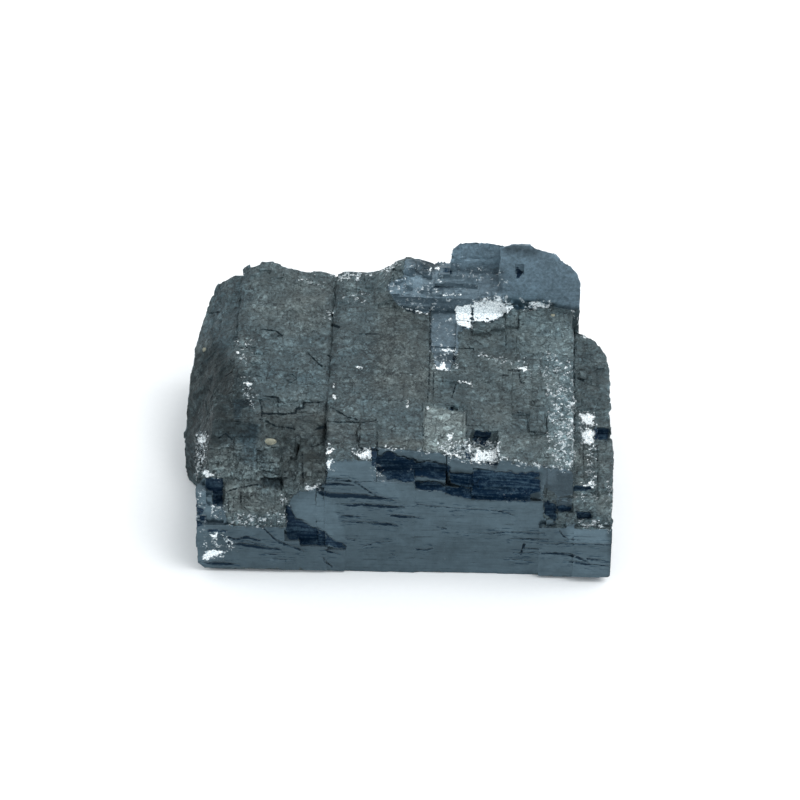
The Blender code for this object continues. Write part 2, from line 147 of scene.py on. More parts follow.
def in_picture(points):
    """How many pixels across and down the picture a point is."""
    away = points - view_point
    depth = -(away @ view_back)
    across = PICTURE / 2 + FOCAL_PIXELS * (away @ view_right) / depth
    down = PICTURE / 2 - FOCAL_PIXELS * (away @ view_up) / depth
    return across, down


def chance(*cells, seed):
    """A number from 0 to 1 for a cell of whole numbers, always the same for the same cell."""
    total = np.full(np.shape(cells[0]), seed * 40503 + 2531, np.uint64)
    for cell in cells:
        total = (total ^ (cell.astype(np.int64) & 0xFFFFFFFF).astype(np.uint64)) * np.uint64(0x85EBCA6B)
        total &= np.uint64(0xFFFFFFFF)
        total ^= total >> np.uint64(15)
    total = (total * np.uint64(0xC2B2AE35)) & np.uint64(0xFFFFFFFF)
    total ^= total >> np.uint64(13)
    return (total & np.uint64(0xFFFFFF)).astype(float) / 0xFFFFFF


def swells(points, size, seed):
    """Smooth swells from 0 to 1, about one size apart."""
    scaled = points / size
    low = np.floor(scaled)
    t = scaled - low
    t = t * t * (3 - 2 * t)
    total = 0.0
    for i in (0, 1):
        for j in (0, 1):
            for k in (0, 1):
                weight = (t[:, 0] if i else 1 - t[:, 0]) * (t[:, 1] if j else 1 - t[:, 1])
                weight = weight * (t[:, 2] if k else 1 - t[:, 2])
                total = total + weight * chance(low[:, 0] + i, low[:, 1] + j, low[:, 2] + k, seed=seed)
    return total


def bricks(a, b, size_a, size_b, seed):
    """A number from 0 to 1 for each block of a face, laid like uneven bricks."""
    row = np.floor(b / size_b + 0.3 * np.sin(b / size_b * 1.7 + seed))
    stretch = 0.55 + 0.9 * chance(row, seed=seed + 1)
    column = np.floor(a / (size_a * stretch) + 7 * chance(row, seed=seed))
    return chance(row, column, seed=seed + 2)


def soft_step(value, low, high):
    """Zero below low, one above high and smooth between."""
    t = np.clip((value - low) / (high - low), 0, 1)
    return t * t * (3 - 2 * t)


def near(across, down, outline, reach):
    """Which places are within reach of an outline's box."""
    xs, ys = [p[0] for p in outline], [p[1] for p in outline]
    return ((across > min(xs) - reach) & (across < max(xs) + reach)
            & (down > min(ys) - reach) & (down < max(ys) + reach))


def depth_in(across, down, outlines, reach=MARK_REACH):
    """How many pixels a place is inside the nearest of some outlines, below zero outside."""
    total = np.full(len(across), -reach)
    for outline in outlines:
        here = near(across, down, outline, reach)
        u, v = across[here], down[here]
        nearest = np.full(len(u), reach)
        inside = np.zeros(len(u), bool)
        for (ax, ay), (bx, by) in zip(outline, outline[1:] + outline[:1]):
            length = max((bx - ax) ** 2 + (by - ay) ** 2, 1e-9)
            t = np.clip(((u - ax) * (bx - ax) + (v - ay) * (by - ay)) / length, 0, 1)
            nearest = np.minimum(nearest, np.hypot(u - ax - t * (bx - ax), v - ay - t * (by - ay)))
            if ay != by:
                inside ^= ((ay > v) != (by > v)) & (u < ax + (v - ay) * (bx - ax) / (by - ay))
        total[here] = np.maximum(total[here], np.where(inside, nearest, -nearest))
    return total


def depth_in_lines(across, down, lines, reach=MARK_REACH):
    """The same for lines, each with its half width at every point: (across, down, half width)."""
    total = np.full(len(across), -reach)
    for line in lines:
        here = near(across, down, line, reach)
        u, v = across[here], down[here]
        best = np.full(len(u), -reach)
        for (ax, ay, aw), (bx, by, bw) in zip(line[:-1], line[1:]):
            length = max((bx - ax) ** 2 + (by - ay) ** 2, 1e-9)
            t = np.clip(((u - ax) * (bx - ax) + (v - ay) * (by - ay)) / length, 0, 1)
            gap = np.hypot(u - ax - t * (bx - ax), v - ay - t * (by - ay))
            best = np.maximum(best, aw + t * (bw - aw) - gap)
        total[here] = np.maximum(total[here], best)
    return total


# Bare metal. The front has broken fresh along one cleavage, up to the edge of the dull coat, and
# so have the ledges behind the plate, the raised block and the corner at the left.
BARE = [
    [(185, 492), (197, 484), (203, 479), (223, 478), (223, 507), (226, 513), (229, 526), (262, 527),
     (286, 527), (286, 505), (291, 501), (291, 497), (298, 492), (318, 487.5), (325, 482), (327, 460),
     (350, 460), (371, 460), (371, 448), (380, 447.5), (400, 449), (422.5, 451), (443, 454),
     (468, 461), (497, 463), (500, 460), (540, 466), (573, 471), (573, 476), (556, 478), (544, 486),
     (543, 500), (544, 517), (557, 523), (559, 529), (563, 525), (575, 525), (607, 526), (620, 526),
     (620, 600), (180, 600)],
    [(394, 301), (389, 292), (385, 286), (394, 281), (403, 277), (404, 262), (414, 257), (432, 258),
     (446, 262), (447, 236), (592, 236), (592, 300), (584, 312), (570, 309), (552, 307), (535, 308),
     (520, 310), (513, 309), (508, 313), (497, 321), (488, 323), (480, 322), (472.5, 321), (472, 328),
     (463, 331), (458, 333), (459, 346), (454, 358), (450, 370), (436, 370), (434, 356), (430, 347),
     (430, 313), (410, 313), (398, 306)],
    [(544, 470), (573, 472), (573, 495), (557, 497), (545, 486)],
    [(556, 497), (572, 498), (572, 512), (557, 512)],
    [(594, 428), (609, 428), (609, 440), (594, 440)],
    [(575, 511), (592, 512), (590, 518), (577, 518)],
]
# Steps in the bare metal that face away from the light. Their near-black is painted shade and
# painted reflection of the dark stone beside them.
STEPS = [
    [(371, 449), (377, 450), (377, 456), (381, 456), (385, 453), (389, 451.5), (394, 454), (400, 457),
     (414, 460), (415, 462), (429, 461.5), (437, 462.5), (447, 465), (449.5, 468), (449.5, 472),
     (448, 477), (447, 481), (441, 480), (428, 478), (415, 477.5), (414, 482), (407, 482), (395, 480),
     (387, 480), (385, 476), (378, 470), (374, 466), (371, 465)],
    [(414, 482), (428, 482), (441, 484), (444, 487), (457, 488), (461, 486), (472, 489), (471, 494),
     (452, 494), (446, 492), (440, 490), (428, 491), (415, 489)],
    [(450, 473), (472, 474), (473, 470), (488, 470), (500, 472), (500, 476), (482, 478), (475, 483),
     (494, 485), (493, 491), (474, 492), (471, 486), (462, 486), (450, 483)],
    [(500, 471), (520, 473), (540, 472), (540, 476), (530, 479), (541, 481), (541, 489.5), (530, 491),
     (512, 490), (494, 491), (494, 484), (510, 482), (522, 479), (506, 478), (497, 477)],
    [(447, 492), (458, 493), (470, 494), (466, 497), (452, 496)],
    [(444, 268), (452, 270), (450, 273), (443, 272)],
    [(457, 493), (472, 488), (541, 488.5), (541, 491), (531, 494), (529, 501.5), (500, 501),
     (480, 499.5), (464, 498)],
    [(474, 476), (524, 476), (541, 480), (541, 485), (494, 487), (473, 485)],
    [(486, 461), (499, 463), (498, 465.5), (488, 464.5)],
    [(285, 505), (290, 506), (291, 511), (296, 518), (305, 523), (320, 530), (326, 534), (338, 543),
     (347, 547), (345, 550), (335, 547), (329, 543), (328, 546), (300, 545), (299, 540), (288, 539),
     (286, 528)],
    [(205, 478), (223, 478), (223, 507), (213.5, 506), (213, 493), (207.5, 491), (204.7, 487)],
    [(476, 430), (491, 431), (490, 439), (485, 442), (488, 448), (478, 444), (472, 439)],
    [(516, 267), (519, 268), (523, 272), (521, 276), (517, 278)],
    [(594, 428.5), (608, 428.5), (608, 439.5), (594, 439.5)],
    [(575, 511), (592, 512), (590, 518), (577, 518)],
    [(544, 500), (556, 504), (556, 522), (550, 519), (544, 513)],
    [(557, 505), (572, 507), (571, 512), (557, 511)],
    [(453, 357), (457, 357), (456, 361), (453, 361)],
    [(465, 452), (472, 453), (471, 459), (466, 458)],
    [(449, 407), (455, 407), (454, 411), (450, 410)],
    [(573, 486), (592, 487), (591, 491), (574, 491)],
    [(199, 515), (206, 516), (206, 521), (199, 520)],
    [(190, 500), (197, 499), (198, 505), (191, 506)],
    [(187, 508), (198, 506), (204, 510), (203, 514), (187, 516)],
    [(189, 522), (201, 521), (203, 526), (190, 528)],
    [(206, 529), (224, 530), (230, 532), (218, 532.5), (207, 531.5)],
]
# Long thin splits along the level cleavage, dark and lens-shaped, that open on the front. They
# are cut in, and their dark is painted shade.
SPLITS = [
    [(326, 478, 0.4), (335, 479.5, 1.2), (346, 480.5, 1.2), (356, 482.5, 0.3)],
    [(317, 486.5, 0.2), (326, 484.5, 1.0), (340, 484.5, 1.1), (354, 485.5, 0.3)],
    [(353, 482, 0.3), (361, 486, 0.6), (369, 492, 0.5), (378, 497, 0.6), (396, 501.5, 0.3)],
    [(316, 492, 0.5), (322, 493, 2.0), (330, 495.5, 2.2), (341, 496, 2.4), (352, 496, 1.8),
     (363, 496.5, 2.2), (372, 498, 1.6), (388, 499.5, 0.3)],
    [(336, 504, 0.3), (346, 505, 0.8), (354, 505.5, 1.3), (362, 504.5, 1.2), (374, 506, 1.1),
     (388, 507, 1.4), (404, 507.8, 0.6)],
    [(341, 516, 0.5), (350, 516.5, 0.9), (362, 517.5, 0.3)],
    [(391, 515.5, 0.8), (400, 516.5, 1.3), (410, 517, 1.0), (419, 518, 0.3)],
    [(343, 522.5, 0.3), (355, 522.5, 0.6), (368, 523, 0.9), (386, 524.5, 1.5), (398, 526, 0.4)],
    [(374, 480, 0.2), (383, 481, 0.3)],
    [(264, 529, 0.5), (269, 534, 0.7), (273, 538, 0.8), (280, 543, 1.0), (288, 545.5, 0.8),
     (297, 548.5, 0.9), (304, 552.5, 0.4)],
    [(228, 537, 0.4), (236, 540, 1.0), (246, 537.5, 1.2), (252, 539, 1.0), (262, 541, 0.3)],
    [(232, 545, 0.4), (240, 544.5, 1.3), (250, 546, 1.6), (262, 548, 1.4), (272, 549, 1.0),
     (281, 550, 0.3)],
    [(246, 541, 0.3), (256, 544, 0.8), (268, 546, 0.3)],
    [(222, 536, 0.3), (228, 541, 0.8), (233, 546, 0.4)],
    [(263, 554, 0.2), (272, 555, 0.4), (281, 554.5, 0.2)],
    [(272, 559.5, 0.2), (282, 560, 0.4), (290, 559.5, 0.2)],
    [(324, 550, 0.4), (329, 552, 1.0), (337, 554, 0.4)],
    [(323, 558, 0.6), (325, 562, 0.6), (332, 567, 0.7)],
    [(202, 562.5, 0.4), (212, 563.5, 1.2), (226, 564, 1.2), (240, 565, 0.3)],
    [(362, 547, 0.2), (377, 542.5, 0.35), (391, 542, 0.2)],
    [(416, 504, 0.2), (430, 507, 0.4), (447, 507.5, 0.3), (460, 509, 0.3), (480, 510, 0.35),
     (497, 511, 0.4), (506, 513, 0.7), (514, 516, 0.3)],
    [(461, 533.5, 0.2), (488, 534, 0.45), (506, 532, 0.4), (523, 533, 0.7), (544, 533.8, 0.4)],
    [(511, 539, 0.4), (527, 539.5, 0.6), (548, 539.8, 0.4)],
    [(540, 543.5, 0.2), (556, 544.8, 0.4), (562, 543.4, 0.5), (570, 544.2, 0.4), (611, 545, 0.4)],
    [(524, 545, 1.2), (522.5, 550, 0.6), (521, 554, 1.1)],
    [(524, 549, 0.7), (540, 549.3, 0.4)],
    [(513, 553, 0.3), (521, 554, 0.8), (535, 553.5, 0.5), (547, 553.5, 0.7), (560, 554, 1.1),
     (570, 555, 1.3), (578, 558, 1.1), (588, 562, 0.4)],
    [(587, 559, 0.7), (596, 560, 1.1), (605, 561, 0.3)],
    [(562, 561.7, 0.3), (572, 562, 0.9), (582, 563.5, 1.3), (591, 565, 0.7), (609, 566.5, 0.3)],
    [(508, 559, 0.2), (520, 560.5, 0.4), (533, 562, 0.2)],
    [(565, 541, 0.3), (572, 539.5, 0.4), (580, 540.5, 0.3)],
    [(559, 531, 0.5), (563, 536, 0.4), (568, 539, 0.3)],
    [(457, 517, 0.8), (461, 517.5, 0.4)],
    [(442, 528.5, 0.7), (446, 529, 0.3)],
    [(416, 549.5, 0.3), (425, 550.5, 0.6), (433, 548.5, 0.4)],
    [(392, 555, 0.4), (397, 557, 0.5)],
    [(596, 580, 0.9), (598, 580, 0.5)],
    [(347, 539, 0.5), (355, 540.5, 0.7)],
    [(434, 287, 0.7), (446, 287.8, 0.8), (458, 288.5, 0.4)],
    [(424, 268.5, 0.3), (440, 269.5, 0.4)],
    [(462, 449, 0.4), (470, 446, 0.8), (476, 441, 0.6)],
]
# Cracks in the dull coat, most of them along the square cleavages. They are cut in, and painted
# near-black as the shade inside them.
CRACKS = [
    [(263, 396, 0.7), (270, 396.8, 1.0), (278, 398, 1.0), (280, 400, 0.7)],
    [(263, 413.5, 0.9), (275, 413.8, 1.0), (287, 414, 0.8)],
    [(260, 419, 0.8), (267.5, 421.7, 1.1), (271, 424, 1.0), (280, 426.7, 1.2), (295, 429, 0.7)],
    [(287, 414, 0.7), (293, 413, 1.0), (296, 413, 1.1), (296.5, 408.5, 1.2), (303, 408, 1.3),
     (303.5, 403, 1.1), (320, 402.5, 0.8)],
    [(277.5, 399, 0.7), (278, 412.5, 0.7)],
    [(260, 400, 0.7), (262, 410, 0.7), (262, 419, 0.6)],
    [(286, 414, 0.3), (296, 412.5, 0.4)],
    [(308, 353, 0.6), (313, 358, 0.8), (318, 363, 0.8), (322, 366, 1.2)],
    [(316, 429, 0.6), (320, 428, 1.6), (325, 427, 0.9)],
    [(260, 329, 0.3), (268, 330, 0.5), (276, 331, 0.6), (281.7, 335, 1.1), (276, 336.7, 0.8),
     (270, 335, 0.3)],
    [(284, 376, 0.3), (292, 374, 0.3), (297, 378, 0.35), (291, 383, 0.4), (284, 378, 0.3)],
    [(254, 374, 0.3), (262, 377, 0.4), (261, 382, 0.3)],
    [(331, 407, 0.5), (338, 411.5, 0.8), (347, 417, 0.6), (357, 419, 0.5)],
    [(327, 421.5, 0.5), (345, 422, 0.8), (363, 422.5, 0.7), (376, 420.5, 0.5)],
    [(361, 423, 0.4), (360, 436, 0.5), (358, 448, 0.4)],
    [(377.5, 422, 0.4), (377, 447.5, 0.4)],
    [(360, 448, 0.9), (368, 449, 1.3), (376, 449.5, 1.3)],
    [(359, 334, 0.4), (382.5, 334, 0.5)],
    [(333, 325, 1.4), (338, 327, 1.6)],
    [(327, 314, 0.5), (333, 315, 0.9)],
    [(328, 355, 0.8), (332, 357, 0.8)],
    [(326, 405, 0.5), (326, 432, 0.7), (326, 452, 0.5), (326, 478, 0.6)],
    [(311, 447, 0.6), (318, 445, 0.9), (325, 441, 0.6)],
    [(226.5, 492, 0.6), (233, 489.5, 0.8), (240, 487.5, 0.9), (253, 485, 0.9), (262, 485, 0.6)],
    [(241, 487, 0.4), (241, 504, 0.5), (245, 508, 0.5), (250, 512, 0.4)],
    [(236, 446, 0.2), (236.5, 456, 0.45), (236, 474, 0.3)],
    [(302.5, 452, 0.4), (303, 488, 0.4)],
    [(228, 494, 0.3), (228.5, 512, 0.4)],
    [(233, 492, 0.3), (233.5, 508, 0.3)],
    [(281.5, 476, 0.5), (282, 503, 0.6)],
    [(262, 478, 0.8), (262, 486, 0.6)],
    [(257, 449, 0.3), (257, 476, 0.5)],
    [(258, 462, 0.3), (266, 463, 0.4), (274, 462.5, 0.3)],
    [(262, 467, 0.3), (272, 468.5, 0.45), (281, 468, 0.3)],
    [(259, 472.5, 0.3), (270, 474, 0.5), (283, 475, 0.4)],
    [(284, 472, 0.5), (292, 471, 0.5)],
    [(283, 478, 0.6), (290, 478, 0.6)],
    [(206, 389, 0.2), (211, 392, 0.4)],
    [(209, 313, 0.3), (219, 312, 0.6)],
    [(506, 333, 0.3), (506, 345, 0.4)],
    [(518.5, 313, 0.4), (518.5, 328, 0.5), (517, 331, 0.4)],
    [(456, 348.5, 0.4), (473.5, 348.5, 0.5), (474, 353, 0.4)],
    [(501, 375.5, 0.6), (508, 375.5, 0.6), (508, 370, 0.4), (519, 370, 0.6), (520, 382, 0.4),
     (525, 383, 0.4)],
    [(456, 384, 0.6), (454, 391, 0.7), (451.7, 397.5, 0.7)],
    [(511.7, 411.7, 0.4), (526, 413, 0.6), (527.5, 420, 0.4), (528, 431.7, 0.4), (546, 433.3, 0.8)],
    [(546.7, 433, 0.5), (546.7, 417.5, 0.4)],
    [(482, 381, 0.4), (487, 383, 0.6), (492, 381, 0.4)],
    [(577.5, 378, 0.9), (583, 380.5, 1.3)],
    [(525, 311.5, 0.5), (531, 310, 0.9), (536, 309.5, 0.4)],
    [(574.5, 330, 0.5), (574, 367, 0.5), (574.5, 420, 0.4), (574, 470, 0.4)],
    [(430, 308, 0.4), (430, 347, 0.5), (429, 380, 0.4), (427, 404, 0.4)],
    [(423, 404, 0.4), (423, 450, 0.3)],
    [(466, 412, 0.35), (467, 443, 0.35)],
    [(434, 366, 0.3), (433, 400, 0.35)],
    [(472, 328, 0.5), (472, 336, 0.6)],
    [(381, 262, 0.3), (392, 259, 0.5), (394, 268, 0.6)],
    [(382, 270, 0.3), (401, 270, 0.5)],
    [(583, 440, 0.3), (584, 480, 0.4)],
    [(597, 446, 0.4), (598, 500, 0.4)],
    [(306, 262, 0.3), (318, 270, 0.4)],
    [(219, 438, 0.7), (226, 434, 1.0), (233, 440, 0.8), (235, 446, 0.4)],
]
# Facets that lie level and flash white in the light. The white is a painted highlight.
FLASHES = [
    [(454, 310), (456.7, 306), (471.2, 304.5), (471.4, 327.5), (466.7, 328), (460, 326), (456, 321),
     (455, 315)],
    [(472.8, 304), (473, 299.5), (479, 301.5), (485, 297.5), (492, 301), (499, 298), (504, 303),
     (513, 303.5), (513, 308), (508, 312.5), (503, 316), (496.7, 320), (488, 322.5), (480, 321.7),
     (473, 321)],
    [(528, 302), (534, 301), (540, 302), (544, 304.5), (548, 308), (541, 307), (534, 306.5)],
    [(436, 349.5), (446, 349), (455, 349), (454, 352), (445, 352), (437, 351.5)],
    [(434.5, 368.5), (436, 366), (440, 366), (442, 362), (444, 362), (446, 367), (449.5, 367),
     (448, 370.5), (437, 370)],
    [(446.7, 436), (448, 433.5), (452, 434), (453.5, 436.5), (451, 440), (447.5, 439.5)],
    [(475, 446), (480, 449), (487, 450), (494, 450), (497.5, 449), (497, 457), (489, 462), (478, 462),
     (470, 460), (474, 456), (477, 452)],
    [(444, 450), (448, 453), (456, 454), (464, 456), (463, 458.5), (455, 457), (446, 454)],
    [(467, 444), (472, 444), (473, 451), (468, 452)],
    [(327, 451), (332, 448), (334, 450), (330, 454), (327, 455)],
    [(326.5, 468), (326.5, 461), (331, 459), (333, 462), (329, 466), (328, 470)],
    [(352, 452), (360, 453), (366, 449.5), (371, 450), (371, 459), (362, 459), (357, 456)],
    [(384, 446), (386.5, 444.5), (388.5, 446.5), (386, 448)],
    [(304, 489), (307, 484.5), (311, 487), (316, 484), (318, 487), (314, 490), (308, 489.5)],
    [(199, 436), (206, 436), (206, 442), (202, 445), (199, 442)],
    [(203, 470), (207, 470), (210, 473), (216, 473), (216, 476), (206, 477.5), (203, 474)],
    [(244, 382), (251, 382), (252, 386), (247, 386)],
    [(235, 350.5), (239, 351), (239, 354), (236, 354)],
    [(332, 382), (334, 382), (334, 387), (332, 387)],
    [(333, 394), (336, 396), (336, 399), (333, 398)],
    [(519, 367), (525, 366.5), (529, 369), (524, 372), (519, 370)],
    [(459, 381), (471.5, 382), (471.5, 387), (470.5, 387), (470.5, 383.4), (459, 382.6)],
    [(430, 312), (430, 314), (418, 313), (408, 310), (401, 308), (401, 306.5), (410, 309), (420, 312)],
    [(581, 414), (588, 412), (594, 416), (594, 424), (586, 426), (580, 420)],
    [(582, 432), (588, 428), (594, 431), (594, 441), (589, 445), (583, 442)],
    [(582, 332), (583.5, 332), (587, 337), (582.5, 337)],
    [(574, 482.5), (588, 484.5), (591, 476), (592, 486), (584, 486)],
    [(581, 523), (587, 522.5), (593, 524), (592, 526), (582, 525)],
    [(202, 556), (206, 551), (214, 549), (223, 550), (222, 555), (213, 557), (208, 560), (202, 560)],
    [(209, 533), (214, 534), (217, 533), (216, 537), (211, 538)],
    [(483, 354), (487, 354), (486.5, 357), (483, 357)],
    [(496, 273), (501, 273), (501, 274.5), (496, 274.5)],
    [(495, 284), (499, 284), (499, 286), (495, 286)],
    [(477, 269), (482, 269), (482, 271), (478, 271)],
    [(356, 366.5), (361, 366), (362, 368.5), (357, 369)],
    [(425, 406), (429, 405.5), (429, 409), (426, 409)],
    [(407, 401), (408.5, 401), (408.5, 408), (406, 408)],
    [(443, 294), (463, 294), (463, 295.3), (443, 295.8)],
    [(429, 268), (431, 268), (431, 271.5), (429, 270)],
    [(434, 267), (441, 268), (440, 271), (435, 269.5)],
]
# Where the coat is broken up fine and sparkles: an outline, and how thickly it sparkles there.
# The sparkle is painted glints, with real splinters standing out there too.
SPARKLING = [
    ([(330, 268), (340, 272), (357, 272), (376, 267), (394, 262), (400, 264), (393, 270), (376, 273),
      (363, 277), (353, 281), (340, 280), (332, 277)], 0.55),
    ([(286, 268), (300, 272), (330, 272), (330, 282), (312, 284), (296, 282), (287, 275)], 0.11),
    ([(218, 272), (232, 272), (244, 270), (244, 276), (228, 277), (220, 280)], 0.16),
    ([(296, 279), (315, 278), (327, 284), (325, 290), (312, 287), (298, 284)], 0.20),
    ([(340, 292), (350, 288), (370, 292), (372, 306), (358, 306), (343, 304)], 0.14),
    ([(324, 308), (335, 308), (336, 318), (324, 318)], 0.22),
    ([(234, 340), (254, 340), (254, 360), (236, 360)], 0.18),
    ([(240, 376), (254, 378), (254, 410), (246, 400), (240, 390)], 0.20),
    ([(196, 432), (207, 434), (207, 450), (205, 476), (197, 478), (195, 455)], 0.42),
    ([(214, 472), (222, 474), (222, 480), (214, 480)], 0.30),
    ([(226, 510), (240, 512), (260, 515), (287, 510), (287, 527), (262, 527), (229, 526)], 0.30),
    ([(210, 506), (226, 504), (226, 515), (212, 520)], 0.30),
    ([(186, 488), (207, 484), (208, 530), (188, 536)], 0.13),
    ([(204, 528), (226, 532), (226, 562), (201, 561)], 0.18),
    ([(224, 536), (235, 540), (235, 554), (226, 552)], 0.30),
    ([(279, 492), (291, 494), (291, 506), (281, 506)], 0.28),
    ([(300, 482), (320, 482), (320, 490), (302, 492)], 0.25),
    ([(350, 446), (372, 446), (372, 461), (352, 461)], 0.30),
    ([(372, 462), (384, 466), (384, 480), (373, 478)], 0.22),
    ([(326, 442), (336, 442), (336, 470), (326, 472)], 0.22),
    ([(424, 405), (466, 412), (466, 444), (440, 452), (423, 450)], 0.05),
    ([(438, 442), (470, 440), (500, 440), (500, 464), (470, 463), (444, 456)], 0.50),
    ([(384, 284), (396, 280), (420, 284), (460, 290), (470, 302), (430, 314), (398, 308)], 0.16),
    ([(404, 260), (450, 262), (510, 270), (510, 300), (470, 296), (404, 284)], 0.11),
    ([(477, 296), (512, 296), (512, 309), (492, 306), (477, 307)], 0.40),
    ([(520, 300), (548, 300), (560, 308), (540, 311), (522, 310)], 0.38),
    ([(430, 314), (458, 314), (458, 347), (430, 347)], 0.12),
    ([(430, 346), (458, 346), (458, 372), (432, 372)], 0.20),
    ([(476, 350), (500, 350), (530, 358), (552, 356), (556, 386), (530, 378), (500, 362),
      (478, 360)], 0.13),
    ([(543, 352), (575, 362), (575, 472), (556, 470), (545, 440), (548, 400), (540, 372)], 0.24),
    ([(556, 425), (574, 418), (574, 471), (560, 468), (552, 450)], 0.38),
    ([(568, 396), (575, 396), (575, 424), (569, 424)], 0.40),
    ([(497, 456), (520, 461), (573, 469), (573, 473), (520, 465), (497, 461)], 0.45),
    ([(578, 410), (596, 410), (596, 446), (580, 446)], 0.30),
    ([(586, 446), (596, 446), (596, 490), (587, 488)], 0.32),
    ([(572, 494), (598, 494), (598, 500), (574, 500)], 0.22),
    ([(604, 480), (612, 480), (612, 540), (606, 525)], 0.22),
    ([(576, 519), (600, 519), (608, 524), (606, 529), (580, 528)], 0.35),
    ([(573, 308), (586, 318), (590, 340), (580, 338), (572, 320)], 0.18),
    ([(371, 446), (400, 447), (440, 452), (440, 456), (400, 452), (372, 450)], 0.18),
    ([(415, 458), (448, 462), (450, 480), (430, 480), (395, 470)], 0.05),
    ([(500, 488), (545, 488), (545, 504), (500, 503)], 0.08),
]
